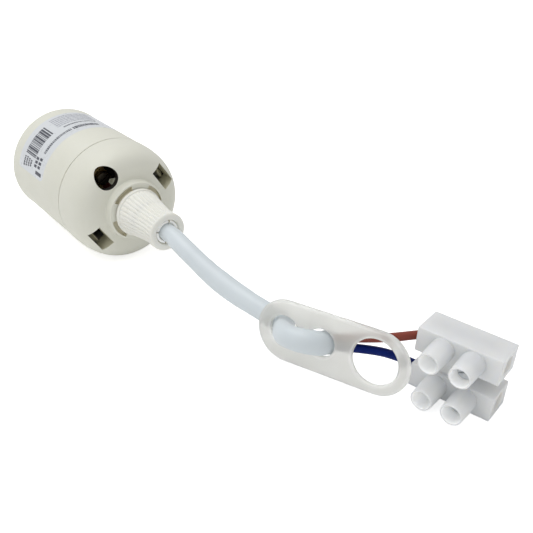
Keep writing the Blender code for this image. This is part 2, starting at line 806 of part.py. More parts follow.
def core_path(pole):
    """Centre line of one core from the sheath's end to the block."""
    lead = lead_path()
    end = lead[-1]
    along = (lead[-1] - lead[-2]).normalized()
    lift = CORES_APART / 2.0 if pole == 0 else -CORES_APART / 2.0
    upward = Vector((0, 0, 1))
    upward = (upward - along * upward.dot(along)).normalized()
    start = end + along * 0.25 + upward * lift
    sag, rest = CORE_LIES[pole]
    entry = block_point(2.6, BLOCK_DEPTH / 2.0, pole_height(pole) + rest)
    before = block_point(-0.6, BLOCK_DEPTH / 2.0, pole_height(pole) + sag)
    one = start + along * 2.2
    lower = Vector((SPLAY_AT[0], SPLAY_AT[1], -6.9 if pole == 0 else -11.9))
    return smooth_path([start, one, lower, before, entry], 1.7)


SPLAY_AT = (156.3, 22.6)
BEND_GAP = 0.42
# How far above its pole's centre each core lies: at the end face, at the tube
CORE_LIES = ((-1.3, -0.8), (-0.2, 0.0))


def core_parts():
    """Each core in two lengths, parted at the bend beside the block."""
    for pole, colour, surface in ((0, "brown", brown_pvc()), (1, "blue", blue_pvc())):
        path = core_path(pole)
        middle = min(range(len(path)), key=lambda i: (path[i].xy - Vector(SPLAY_AT)).length)
        here = path[middle]
        along = (path[middle + 1] - path[middle - 1]).normalized()
        tag_side = path[:middle] + [here - along * BEND_GAP]
        block_side = [here + along * BEND_GAP] + path[middle + 1 :]
        cable(colour + "_core_tag_side", tag_side, CORE_R, 10, surface)
        cable(colour + "_core_block_side", block_side, CORE_R, 10, surface)
        end = path[-1]
        direction = (block_point(1, 0, 0) - block_point(0, 0, 0)).normalized()
        start = end + direction * 0.3
        stop = end + direction * 7.6
        rod(colour + "_copper_block_end", start, stop, COPPER_R, 10, copper())


def holder_cores():
    """The cores' other ends, splayed to the clamps inside the lampholder."""
    for sign, colour, surface, angle in ((1, "brown", brown_pvc(), -35.0), (-1, "blue", blue_pvc(), 145.0)):
        place = turned(angle)
        start = place @ Vector((CABLE_START_X - 0.1, 0.0, CORES_APART / 2.0))
        points = [start, place @ Vector((49.0, 0.0, 1.75)), place @ Vector((45.2, 0.0, 3.6))]
        points += [place @ Vector((43.4, 0.0, 6.2)), place @ Vector((43.2, 0.0, 9.3))]
        cable(colour + "_core_holder_side", smooth_path(points, 1.6), CORE_R, 10, surface)
        low = place @ Vector((43.2, 0.0, 9.6))
        high = place @ Vector((43.2, 0.0, 14.0))
        rod(colour + "_copper_holder_end", low, high, COPPER_R, 10, copper())


# ---------------------------------------------------------------- terminal block
def terminal_block_housing():
    """Two-pole moulding: a body and two turrets per pole, joined by a web."""
    place = block_place()
    top = (0.0, 0.0, -BLOCK_HEIGHT)
    made = box("terminal_block_housing", top, (BLOCK_LENGTH, BLOCK_DEPTH, 0.0), block_white(), None, place)
    low = (0.0, 0.0, -BLOCK_HEIGHT - POLE_PITCH)
    made = join(made, box("pole", low, (BLOCK_LENGTH, BLOCK_DEPTH, -POLE_PITCH), None, None, place))
    low = (WEB_LOW, 1.6, -POLE_PITCH - 0.5)
    high = (WEB_HIGH, BLOCK_DEPTH - 0.8, -BLOCK_HEIGHT + 0.5)
    made = join(made, box("web", low, high, None, None, place))
    for pole in (0, 1):
        for at in TURRET_AT:
            start = block_point(at, 1.0, pole_height(pole))
            end = block_point(at, -TURRET_LENGTH, pole_height(pole))
            made = join(made, rod("turret", start, end, TURRET_R, 24, None, None, TURRET_END_R))
    for pole in (0, 1):
        z = pole_height(pole)
        start = block_point(-1.0, BLOCK_DEPTH / 2.0, z)
        end = block_point(BLOCK_LENGTH + 1.0, BLOCK_DEPTH / 2.0, z)
        made = cut(made, rod("passage", start, end, PASSAGE_R, 20, None, CUTTERS))
        for at in TURRET_AT:
            start = block_point(at, BLOCK_DEPTH / 2.0, z)
            end = block_point(at, -TURRET_LENGTH - 1.0, z)
            made = cut(made, rod("turret_bore", start, end, TURRET_BORE_R, 20, None, CUTTERS))
    middle = (WEB_LOW + WEB_HIGH) / 2.0
    z = -(BLOCK_HEIGHT + POLE_PITCH) / 2.0
    start = block_point(middle, -1.0, z)
    end = block_point(middle, BLOCK_DEPTH + 1.0, z)
    return cut(made, rod("mounting_hole", start, end, MOUNT_HOLE_R, 20, None, CUTTERS))


def clamp_tube(name, pole):
    """Brass tube in one pole, with a threaded hole under each turret."""
    z = pole_height(pole)
    low = BLOCK_LENGTH / 2.0 - CLAMP_TUBE_LENGTH / 2.0
    high = BLOCK_LENGTH / 2.0 + CLAMP_TUBE_LENGTH / 2.0
    mid = BLOCK_DEPTH / 2.0
    made = rod(name, block_point(low, mid, z), block_point(high, mid, z), CLAMP_TUBE_R, 20, brass())
    start = block_point(low - 1, mid, z)
    end = block_point(high + 1, mid, z)
    tool = rod("bore", start, end, CLAMP_TUBE_BORE_R, 16, None, CUTTERS)
    made = cut(made, tool)
    for at in TURRET_AT:
        start = block_point(at, mid, z)
        end = block_point(at, mid - 4, z)
        tool = rod("screw_hole", start, end, BLOCK_SCREW_R + 0.1, 16, None, CUTTERS)
        made = cut(made, tool)
    return made


def block_screws():
    """Four slotted screws; the two beside the cores are driven home."""
    names = (("brown", 0), ("blue", 1))
    behind = block_point(0, 1, 0) - block_point(0, 0, 0)
    for label, pole in names:
        for at, where, top_y in zip(TURRET_AT, ("inlet", "outlet"), SCREW_TOPS):
            top = block_point(at, top_y, pole_height(pole))
            start = top + behind * BLOCK_SCREW_LENGTH
            side = (block_point(1, 0, 0) - block_point(0, 0, 0) + Vector((0, 0, 0.5))).normalized()
            shank = BLOCK_SCREW_LENGTH - 1.4
            slotted_screw(f"{label}_{where}_screw", start, -behind, BLOCK_SCREW_R, shank, 2.2, 1.4, side)


def build():
    skirt_shell()
    dome_cap()
    contact_carrier()
    centre_contact()
    side_contact()
    holder_clamp("live_clamp", -35.0)
    holder_clamp("neutral_clamp", 145.0)
    holder_screw("live_clamp_screw", -35.0)
    holder_screw("neutral_clamp_screw", 145.0)
    cord_grip_nut()
    cord_grip_collet()
    rating_label()
    hook_tag()
    sheath_parts()
    core_parts()
    holder_cores()
    terminal_block_housing()
    clamp_tube("brown_clamp_tube", 0)
    clamp_tube("blue_clamp_tube", 1)
    block_screws()


def move_to_origin():
    """Move every piece so that the centre contact's face is the origin."""
    shift = Matrix.Translation(Vector((-CONTACT_FACE_X * MM, 0.0, 0.0)))
    for made in list(PARTS.objects) + list(CUTTERS.objects):
        made.data.transform(shift)


build()
move_to_origin()
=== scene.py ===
"""Visual model of the pendant lampholder lead, built round its CAD frame.

Pieces are drawn in millimetres with +X along the lampholder's axis from its
mouth to the cord and +Z up, x counted from just behind the rim; settle()
then moves each one into the row frame, whose origin is the centre contact.
"""

import json
import math
import random

import bmesh
import bpy
from mathutils import Matrix, Vector


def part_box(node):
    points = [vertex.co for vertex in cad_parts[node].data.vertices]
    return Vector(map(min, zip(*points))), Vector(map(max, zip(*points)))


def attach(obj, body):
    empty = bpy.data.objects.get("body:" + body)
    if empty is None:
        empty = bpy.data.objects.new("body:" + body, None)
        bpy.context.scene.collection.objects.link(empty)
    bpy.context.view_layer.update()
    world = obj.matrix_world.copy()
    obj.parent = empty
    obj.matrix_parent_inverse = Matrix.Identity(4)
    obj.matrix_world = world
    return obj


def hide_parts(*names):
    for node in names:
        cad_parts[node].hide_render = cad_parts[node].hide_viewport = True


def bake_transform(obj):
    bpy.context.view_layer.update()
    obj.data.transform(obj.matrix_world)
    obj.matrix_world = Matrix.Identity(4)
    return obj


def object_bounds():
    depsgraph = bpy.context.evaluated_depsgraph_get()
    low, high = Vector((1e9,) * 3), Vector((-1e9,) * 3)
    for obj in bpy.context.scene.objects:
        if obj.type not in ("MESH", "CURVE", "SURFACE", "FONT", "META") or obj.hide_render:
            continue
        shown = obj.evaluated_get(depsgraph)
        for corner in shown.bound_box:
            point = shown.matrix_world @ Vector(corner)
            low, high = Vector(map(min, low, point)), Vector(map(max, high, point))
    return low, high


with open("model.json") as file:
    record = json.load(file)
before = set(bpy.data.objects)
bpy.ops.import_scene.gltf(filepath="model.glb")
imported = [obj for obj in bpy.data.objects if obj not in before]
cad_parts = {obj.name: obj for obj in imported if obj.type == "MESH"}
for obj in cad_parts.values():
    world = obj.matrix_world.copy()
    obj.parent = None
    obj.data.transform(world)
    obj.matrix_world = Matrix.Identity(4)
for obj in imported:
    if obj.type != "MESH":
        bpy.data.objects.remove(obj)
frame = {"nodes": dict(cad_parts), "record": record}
CAD_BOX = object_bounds()
RECORD = frame["record"]
MM = 0.001
MOUTH_X = -0.8
OFFSET = Vector((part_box("skirt_shell")[0][0] / MM - MOUTH_X, 0.0, 0.0))


# ---------------------------------------------------------------- the frame
def drawn(point):
    """A point of the row frame, in metres, as drawing millimetres."""
    return Vector(point) / MM - OFFSET


def row(point):
    """A drawing point as metres in the row frame."""
    return tuple((Vector(point) + OFFSET) * MM)


def mm_box(node):
    """A CAD node's lowest and highest corners in drawing millimetres."""
    low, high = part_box(node)
    return drawn(low), drawn(high)


def mount(name):
    """A mount's point in drawing millimetres and its unit axis."""
    for entry in RECORD["mounts"]:
        if entry["name"] == name:
            return drawn(entry["pos_m"]), Vector(entry["axis"]).normalized()
    raise KeyError(name)


def joint_point(name):
    """A joint's point in drawing millimetres."""
    for entry in RECORD["behaviour"]["joints"]:
        if entry["name"] == name:
            return drawn(entry["pos_m"])
    raise KeyError(name)


def settle(piece, body, *nodes):
    """Move a finished piece into the row frame; hide the CAD nodes it replaces and hang it on
    its body.
    """
    piece.data.transform(Matrix.Translation(OFFSET * MM))
    if nodes:
        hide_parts(*nodes)
    if body:
        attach(piece, body)
    return piece


SKIRT_LOW, SKIRT_HIGH = mm_box("skirt_shell")
CAP_LOW, CAP_HIGH = mm_box("dome_cap")
NUT_LOW, NUT_HIGH = mm_box("cord_grip_nut")
COLLET_LOW, COLLET_HIGH = mm_box("cord_grip_collet")
SKIRT_R = 21.0
CAP_R = CAP_HIGH.z
NUT_START = NUT_LOW.x
NUT_END = NUT_HIGH.x
SWING = joint_point("cable_swing")
LIFT = joint_point("cable_lift")
SPLAY = joint_point("core_bend")


# ---------------------------------------------------------------- materials
def shader_tree(name):
    made = bpy.data.materials.new(name)
    made.use_nodes = True
    tree = made.node_tree
    return made, tree, tree.nodes["Principled BSDF"]


def add_noise(tree, scale, detail=3.0, rough=0.55, stretch=None):
    """Noise in the object's own metres; stretch squeezes it along an axis."""
    place = tree.nodes.new("ShaderNodeTexCoord")
    noise = tree.nodes.new("ShaderNodeTexNoise")
    noise.inputs["Scale"].default_value = scale
    noise.inputs["Detail"].default_value = detail
    noise.inputs["Roughness"].default_value = rough
    source = place.outputs["Object"]
    if stretch:
        scaling = tree.nodes.new("ShaderNodeMapping")
        scaling.inputs["Scale"].default_value = stretch
        tree.links.new(source, scaling.inputs["Vector"])
        source = scaling.outputs["Vector"]
    tree.links.new(source, noise.inputs["Vector"])
    return noise.outputs["Fac"]


def remap(tree, source, low, high, from_low=0.3, from_high=0.7):
    node = tree.nodes.new("ShaderNodeMapRange")
    node.inputs["From Min"].default_value = from_low
    node.inputs["From Max"].default_value = from_high
    node.inputs["To Min"].default_value = low
    node.inputs["To Max"].default_value = high
    tree.links.new(source, node.inputs["Value"])
    return node.outputs["Result"]


def tint(tree, factor, first, second):
    """Mix of two colours by a factor socket."""
    node = tree.nodes.new("ShaderNodeMix")
    node.data_type = "RGBA"
    tree.links.new(factor, node.inputs["Factor"])
    node.inputs[6].default_value = (*first, 1.0)
    node.inputs[7].default_value = (*second, 1.0)
    return node.outputs[2]


def add_bump(tree, shader, source, strength, distance, below=None):
    node = tree.nodes.new("ShaderNodeBump")
    node.inputs["Strength"].default_value = strength
    node.inputs["Distance"].default_value = distance
    tree.links.new(source, node.inputs["Height"])
    if below is not None:
        tree.links.new(below, node.inputs["Normal"])
    tree.links.new(node.outputs["Normal"], shader.inputs["Normal"])
    return node.outputs["Normal"]


def moulded(
    name, light, dark, rough, glow=0.0, glow_mm=1.0, grain=0.35, clear=0.0, shine=0.5
):
    """Moulded plastic: soft mottling, fine spark-eroded grain, some depth."""
    made, tree, shader = shader_tree(name)
    mottle = remap(tree, add_noise(tree, 90.0), 0.0, 1.0)
    tree.links.new(tint(tree, mottle, light, dark), shader.inputs["Base Color"])
    sheen = remap(tree, add_noise(tree, 420.0), rough - 0.05, rough + 0.06)
    tree.links.new(sheen, shader.inputs["Roughness"])
    flow = add_bump(tree, shader, add_noise(tree, 160.0, 1.0), 0.15, 0.0001)
    add_bump(tree, shader, add_noise(tree, 5200.0, 2.0), grain, 0.00002, flow)
    shader.inputs["IOR"].default_value = 1.49
    shader.inputs["Specular IOR Level"].default_value = shine
    if glow:
        shader.inputs["Subsurface Weight"].default_value = glow
        shader.inputs["Subsurface Radius"].default_value = (1.0, 0.95, 0.85)
        shader.inputs["Subsurface Scale"].default_value = glow_mm * MM
    if clear:
        shader.inputs["Transmission Weight"].default_value = clear
    return made


def painted_glow(name, colour, strength):
    """Inside of a translucent wall, with painted light: a faint emission stands in for light
    through the wall from outside.
    """
    darker = tuple(c * 0.97 for c in colour)
    made = moulded(name, colour, darker, 0.4, glow=1.0, glow_mm=2.0, grain=0.2)
    shader = made.node_tree.nodes["Principled BSDF"]
    shader.inputs["Emission Color"].default_value = (*colour, 1.0)
    shader.inputs["Emission Strength"].default_value = strength
    return made


def frosted_plate(name, light, dark, low_share, high_share):
    """Natural polypropylene: milky, with blurred shapes showing through."""
    made = bpy.data.materials.new(name)
    made.use_nodes = True
    tree = made.node_tree
    tree.nodes.clear()
    out = tree.nodes.new("ShaderNodeOutputMaterial")
    body = tree.nodes.new("ShaderNodeBsdfPrincipled")
    mottle = remap(tree, add_noise(tree, 120.0), 0.0, 1.0)
    tree.links.new(tint(tree, mottle, light, dark), body.inputs["Base Color"])
    body.inputs["Roughness"].default_value = 0.42
    body.inputs["Subsurface Weight"].default_value = 1.0
    body.inputs["Subsurface Radius"].default_value = (1.0, 1.0, 0.95)
    body.inputs["Subsurface Scale"].default_value = 1.1 * MM
    body.inputs["IOR"].default_value = 1.49
    grain = add_bump(tree, body, add_noise(tree, 3800.0, 2.0), 0.25, 0.00002)
    add_bump(tree, body, add_noise(tree, 260.0, 1.0), 0.2, 0.0001, grain)
    haze = tree.nodes.new("ShaderNodeBsdfRefraction")
    haze.inputs["Roughness"].default_value = 0.5
    haze.inputs["IOR"].default_value = 1.2
    haze.inputs["Color"].default_value = (0.95, 0.95, 0.935, 1.0)
    mix = tree.nodes.new("ShaderNodeMixShader")
    share = remap(tree, add_noise(tree, 150.0), low_share, high_share)
    tree.links.new(share, mix.inputs["Fac"])
    tree.links.new(body.outputs["BSDF"], mix.inputs[1])
    tree.links.new(haze.outputs["BSDF"], mix.inputs[2])
    tree.links.new(mix.outputs["Shader"], out.inputs["Surface"])
    return made


def metal(name, light, dark, rough, streak=(1.0, 1.0, 1.0)):
    """Machined or plated metal with drawn streaks and dull patches."""
    made, tree, shader = shader_tree(name)
    patch = remap(tree, add_noise(tree, 700.0), 0.0, 1.0)
    tree.links.new(tint(tree, patch, light, dark), shader.inputs["Base Color"])
    shader.inputs["Metallic"].default_value = 1.0
    sheen = remap(tree, add_noise(tree, 1800.0, 4.0, 0.6, streak), rough - 0.08, rough + 0.12)
    tree.links.new(sheen, shader.inputs["Roughness"])
    add_bump(tree, shader, add_noise(tree, 3000.0, 3.0, 0.6, streak), 0.25, 0.00002)
    return made


def printed(name, colour):
    """Thermal print on a film label."""
    made, tree, shader = shader_tree(name)
    patch = remap(tree, add_noise(tree, 2600.0), 0.0, 1.0)
    lighter = tuple(min(1.0, c + 0.06) for c in colour)
    tree.links.new(tint(tree, patch, colour, lighter), shader.inputs["Base Color"])
    shader.inputs["Roughness"].default_value = 0.45
    return made


IVORY = moulded("ivory_look", (0.72, 0.72, 0.64), (0.70, 0.70, 0.615), 0.46, 0.15, 0.6)
# Painted shade: near-black ivory for the hollow inside the dome and its wells.
SHADED = moulded("ivory_painted_shade_look", (0.10, 0.09, 0.06), (0.07, 0.06, 0.04), 0.6)
# Painted shade: almost black for the walls of the round holes in the dome.
HOLE_PAINTED_SHADE = moulded("ivory_hole_painted_shade_look", (0.02, 0.016, 0.011), (0.014, 0.011, 0.008), 0.6)
# Painted shade: ivory darkened to olive for the walls of the dome's openings and the latch
# arms inside them.
WALL_PAINTED_SHADE = moulded("ivory_wall_painted_shade_look", (0.62, 0.60, 0.46), (0.59, 0.57, 0.435), 0.5, 0.15, 0.6)
# Painted shade: ivory darkened for the walls of the arc slots and the collet's slits.
SLOT_PAINTED_SHADE = moulded("ivory_slot_painted_shade_look", (0.70, 0.665, 0.52), (0.67, 0.635, 0.495), 0.5)
# Painted light: the collet's jaws glow faintly, as if lit.
JAWS_PAINTED_GLOW = painted_glow("jaws_painted_glow_look", (0.86, 0.86, 0.82), 0.14)
WARM = moulded("warm_white_look", (0.83, 0.83, 0.775), (0.81, 0.805, 0.75), 0.42, 0.4, 0.6)
PVC = moulded(
    "cable_pvc_look",
    (0.665, 0.72, 0.75),
    (0.64, 0.695, 0.725),
    0.36,
    glow=0.2,
    glow_mm=0.6,
    grain=0.2,
)
POLY = moulded(
    "block_polyamide_look",
    (0.84, 0.855, 0.86),
    (0.82, 0.835, 0.84),
    0.36,
    glow=1.0,
    glow_mm=3.0,
    grain=0.2,
    clear=0.15,
)
# Painted light: the block's screw bores glow faintly.
BORE_PAINTED_GLOW = painted_glow("block_bore_painted_glow_look", (0.84, 0.85, 0.85), 0.16)
# Painted light: the block's wire passages glow faintly to match its end faces.
PASSAGE_PAINTED_GLOW = painted_glow("block_passage_painted_glow_look", (0.80, 0.81, 0.81), 0.06)
PLATE = frosted_plate(
    "frosted_plate_look", (0.74, 0.74, 0.715), (0.71, 0.715, 0.69), 0.46, 0.52
)
# Painted highlight: the tag's rounded edges and hole walls are lighter than its faces.
PLATE_RIM_HIGHLIGHT = frosted_plate(
    "frosted_rim_painted_highlight_look", (0.82, 0.825, 0.805), (0.80, 0.805, 0.785), 0.42, 0.48
)
CARRIER = moulded("carrier_look", (0.035, 0.02, 0.012), (0.022, 0.013, 0.008), 0.45)
FILM = moulded(
    "label_film_look", (0.67, 0.695, 0.72), (0.65, 0.675, 0.70), 0.3, grain=0.12
)
BROWN = moulded(
    "brown_pvc_look",
    (0.25, 0.055, 0.036),
    (0.21, 0.042, 0.028),
    0.36,
    glow=0.1,
    glow_mm=0.3,
    grain=0.2,
    shine=0.3,
)
BLUE = moulded(
    "blue_pvc_look",
    (0.001, 0.014, 0.16),
    (0.001, 0.011, 0.13),
    0.34,
    glow=0.1,
    glow_mm=0.3,
    grain=0.2,
    shine=0.12,
)
ALONG_Y = (1.0, 6.0, 1.0)
BRASS = metal("brass_look", (0.80, 0.58, 0.26), (0.66, 0.45, 0.19), 0.28, (1.0, 1.0, 6.0))
# Painted shade: the clamp screws inside the lampholder are coloured dark brown.
SCREW_PAINTED_SHADE = metal("screw_painted_shade_look", (0.10, 0.085, 0.06), (0.06, 0.05, 0.04), 0.45, ALONG_Y)
STEEL = metal("zinc_look", (0.62, 0.64, 0.66), (0.50, 0.52, 0.54), 0.3, ALONG_Y)
COPPER = metal("copper_look", (0.86, 0.45, 0.28), (0.70, 0.33, 0.19), 0.3, (8.0, 1.0, 1.0))
PRINT = printed("label_print_look", (0.04, 0.045, 0.065))
PRINT_GREY = printed("label_grey_look", (0.27, 0.28, 0.33))


# ---------------------------------------------------------------- mesh tools
def shade_smooth(work, sharp):
    """Smooth shading, with hard edges where faces meet at over sharp degrees."""
    limit = math.radians(sharp)
    for face in work.faces:
        face.smooth = True
    for edge in work.edges:
        edge.smooth = not (edge.is_manifold and edge.calc_face_angle(0.0) > limit)


def finish_mesh(name, work, look, sharp=32.0, keep_normals=False):
    """Turn a bmesh in millimetres into an object in metres, smooth shaded."""
    bmesh.ops.remove_doubles(work, verts=work.verts, dist=1e-4)
    if not keep_normals:
        bmesh.ops.recalc_face_normals(work, faces=work.faces)
    bmesh.ops.scale(work, vec=(MM, MM, MM), verts=work.verts)
    shade_smooth(work, sharp)
    mesh = bpy.data.meshes.new(name)
    work.to_mesh(mesh)
    work.free()
    mesh.materials.append(look)
    made = bpy.data.objects.new(name, mesh)
    bpy.context.scene.collection.objects.link(made)
    return made


def skin(work, rings):
    """Quads between neighbouring rings of vertices."""
    count = len(rings[0])
    faces = []
    for here, after in zip(rings, rings[1:]):
        for k in range(count):
            n = (k + 1) % count
            faces.append(work.faces.new((here[k], here[n], after[n], after[k])))
    return faces


def smooth_step(x, low, high):
    """0 below low, 1 above high and an even curve between."""
    t = min(max((x - low) / (high - low), 0.0), 1.0)
    return t * t * (3.0 - 2.0 * t)


def around_x(x, r, angle):
    """Point at distance r from the X axis; angle runs from +Z towards +Y."""
    return Vector((x, r * math.sin(angle), r * math.cos(angle)))


def rounded(points, radius=0.25, steps=3, closed=True, only=None):
    """Round the corners of a section; radius shrinks on short sides."""
    result = []
    count = len(points)
    for i, point in enumerate(points):
        here = Vector(point)
        at_end = not closed and i in (0, count - 1)
        if at_end or (only is not None and i not in only):
            result.append(tuple(here))
            continue
        before = Vector(points[i - 1]) - here
        after = Vector(points[(i + 1) % count]) - here
        cut = min(radius, before.length * 0.45, after.length * 0.45)
        a = here + before.normalized() * cut
        b = here + after.normalized() * cut
        for k in range(steps + 1):
            t = k / steps
            result.append(tuple(a * (1 - t) ** 2 + here * 2 * t * (1 - t) + b * t * t))
    return result


def lathe(name, section, segments, look, closed=True, radius=None, sharp=32.0):
    """Turn a section of (x, r) points about X, ring-like or with flat ends."""
    work = bmesh.new()
    rings = []
    for x, r in section:
        ring = []
        for k in range(segments):
            angle = 2.0 * math.pi * k / segments
            use = radius(x, r, angle) if radius else r
            ring.append(work.verts.new(around_x(x, use, angle)))
        rings.append(ring)
    if closed:
        skin(work, rings + rings[:1])
    else:
        skin(work, rings)
        work.faces.new(rings[0])
        work.faces.new(rings[-1])
    return finish_mesh(name, work, look, sharp)


def soften_edges(work, offset, segments):
    bmesh.ops.bevel(
        work,
        geom=work.edges[:],
        offset=offset,
        segments=segments,
        profile=0.5,
        affect="EDGES",
        clamp_overlap=True,
    )


def prism(name, outline, low, high, look, place=None, soften=0.0, sharp=32.0):
    """Extrude an (x, z) outline along local y and round its edges."""
    work = bmesh.new()
    left = [work.verts.new((x, low, z)) for x, z in outline]
    right = [work.verts.new((x, high, z)) for x, z in outline]
    work.faces.new(left)
    work.faces.new(right)
    for k in range(len(outline)):
        n = (k + 1) % len(outline)
        work.faces.new((left[k], left[n], right[n], right[k]))
    bmesh.ops.recalc_face_normals(work, faces=work.faces)
    if soften:
        soften_edges(work, soften, 2)
    if place is not None:
        work.transform(place)
    return finish_mesh(name, work, look, sharp)


def block(name, low, high, look, place=None, soften=0.0):
    """Box between two corners with rounded edges."""
    work = bmesh.new()
    bmesh.ops.create_cube(work, size=1.0)
    size = Vector(high) - Vector(low)
    middle = (Vector(high) + Vector(low)) / 2.0
    for vert in work.verts:
        x, y, z = vert.co
        vert.co = Vector((x * size.x, y * size.y, z * size.z)) + middle
    if soften:
        soften_edges(work, soften, 3)
    if place is not None:
        work.transform(place)
    return finish_mesh(name, work, look)


def turned(angle):
    """Matrix taking local Z to the direction at this angle about X."""
    return Matrix.Rotation(-math.radians(angle), 4, "X")


def pointing(origin, along, side=None):
    """Matrix whose local X runs along a direction from an origin."""
    along = Vector(along).normalized()
    side = Vector(side).normalized() if side else along.orthogonal().normalized()
    side = (side - along * side.dot(along)).normalized()
    turn = Matrix((along, side, along.cross(side))).transposed().to_4x4()
    return Matrix.Translation(Vector(origin)) @ turn


def moved(obj, matrix):
    """Place a piece by a matrix in millimetres, written into its mesh."""
    obj.data.transform(Matrix.Diagonal((1 / MM, 1 / MM, 1 / MM, 1)))
    obj.data.transform(matrix)
    obj.data.transform(Matrix.Diagonal((MM, MM, MM, 1)))
    return obj


def bake(obj):
    """Replace an object's mesh by its evaluated one."""
    bpy.context.view_layer.update()
    graph = bpy.context.evaluated_depsgraph_get()
    result = bpy.data.meshes.new_from_object(obj.evaluated_get(graph))
    obj.modifiers.clear()
    obj.data = result
    return obj


def boolean(target, tool, operation):
    """Cut or join by a tool, whose material the new faces keep."""
    change = target.modifiers.new("change", "BOOLEAN")
    change.operation = operation
    change.solver = "EXACT"
    change.material_mode = "TRANSFER"
    change.object = tool
    bake(target)
    bpy.data.objects.remove(tool, do_unlink=True)
    return target


def cut(target, tool):
    return boolean(target, tool, "DIFFERENCE")


def join(target, tool):
    return boolean(target, tool, "UNION")


def tidy(obj, soften=0.0, sharp=32.0, segments=2):
    """Soften the sharp edges left by cuts and set the shading again."""
    if soften:
        change = obj.modifiers.new("soften", "BEVEL")
        change.width = soften * MM
        change.segments = segments
        change.limit_method = "ANGLE"
        change.angle_limit = math.radians(45.0)
        change.miter_outer = "MITER_ARC"
        change.use_clamp_overlap = True
        bake(obj)
    work = bmesh.new()
    work.from_mesh(obj.data)
    bmesh.ops.remove_doubles(work, verts=work.verts, dist=1e-7)
    shade_smooth(work, sharp)
    work.to_mesh(obj.data)
    work.free()
    return obj


def smooth_path(points, step):
    """Catmull-Rom curve through the points, sampled about every step mm."""
    knots = [Vector(p) for p in points]
    knots = [2.0 * knots[0] - knots[1]] + knots + [2.0 * knots[-1] - knots[-2]]
    path = []
    for i in range(1, len(knots) - 2):
        a, b, c, d = knots[i - 1], knots[i], knots[i + 1], knots[i + 2]
        count = max(1, round((c - b).length / step))
        for k in range(count):
            t = k / count
            curve = 2.0 * b + (c - a) * t
            curve += (2.0 * a - 5.0 * b + 4.0 * c - d) * t * t
            curve += (3.0 * b - a - 3.0 * c + d) * t * t * t
            path.append(0.5 * curve)
    path.append(knots[-2])
    return path


def tangent(path, i):
    """Direction of a path at its point i."""
    return (path[min(i + 1, len(path) - 1)] - path[max(i - 1, 0)]).normalized()


def nearest(path, point):
    """Index of the path's point closest to a given one."""
    return min(range(len(path)), key=lambda i: (path[i] - Vector(point)).length)


def sweep(name, path, section, look, tail=(), side=None):
    """Sweep a closed section along a path.

    section(point, toward) gives the radius in a direction; tail is a list of
    (offset beyond the path's end, scale) rings that shape that end.
    """
    sides = 48
    tangents = [tangent(path, i) for i in range(len(path))]
    stations = [(p, t, 1.0, i) for i, (p, t) in enumerate(zip(path, tangents))]
    last = len(path) - 1
    for offset, scale in tail:
        centre = path[last] + tangents[last] * offset
        stations.append((centre, tangents[last], scale, last))
    work = bmesh.new()
    side = Vector(side) if side else tangents[0].orthogonal()
    rings = []
    for centre, along, scale, index in stations:
        side = (side - along * side.dot(along)).normalized()
        other = along.cross(side)
        ring = []
        for k in range(sides):
            angle = 2.0 * math.pi * k / sides
            toward = side * math.cos(angle) + other * math.sin(angle)
            reach = section(path[index], toward)
            ring.append(work.verts.new(centre + toward * reach * scale))
        rings.append(ring)
    skin(work, rings)
    work.faces.new(rings[0])
    work.faces.new(rings[-1])
    return finish_mesh(name, work, look, 40.0)


# ---------------------------------------------------------------- lampholder
THREAD_PITCH = 3.629
OPENING_ANGLES = (55.0, 235.0)
HOLE_ANGLES = (-35.0, 145.0)
HOLE_R = 3.98
HOLE_OFF_AXIS = 15.8
ARC_ANGLES = (-35.0, 55.0, 145.0, 235.0)
ARC_HALF_ANGLE = 24.5
ARC_INNER_R = 8.2
ARC_OUTER_R = 10.0
ARC_DEPTH = 1.5
CAP_START = CAP_LOW.x
DOME_HEIGHT = 15.0
DOME_POWER = 3.36
CROWN_R = 11.0
CROWN = CAP_START + DOME_HEIGHT
BOSS_TOP = CROWN + 3.05
SEAM_END = CAP_START + 0.06
NECK_BORE_R = 5.05
RIBS = 32.0
COLLET_BORE = 3.3
LATCH_ARM = (
    (42.0, 16.0),
    (48.6, 16.0),
    (49.8, 16.4),
    (47.2, 18.0),
    (45.6, 18.0),
    (45.0, 18.3),
    (42.0, 18.3),
)


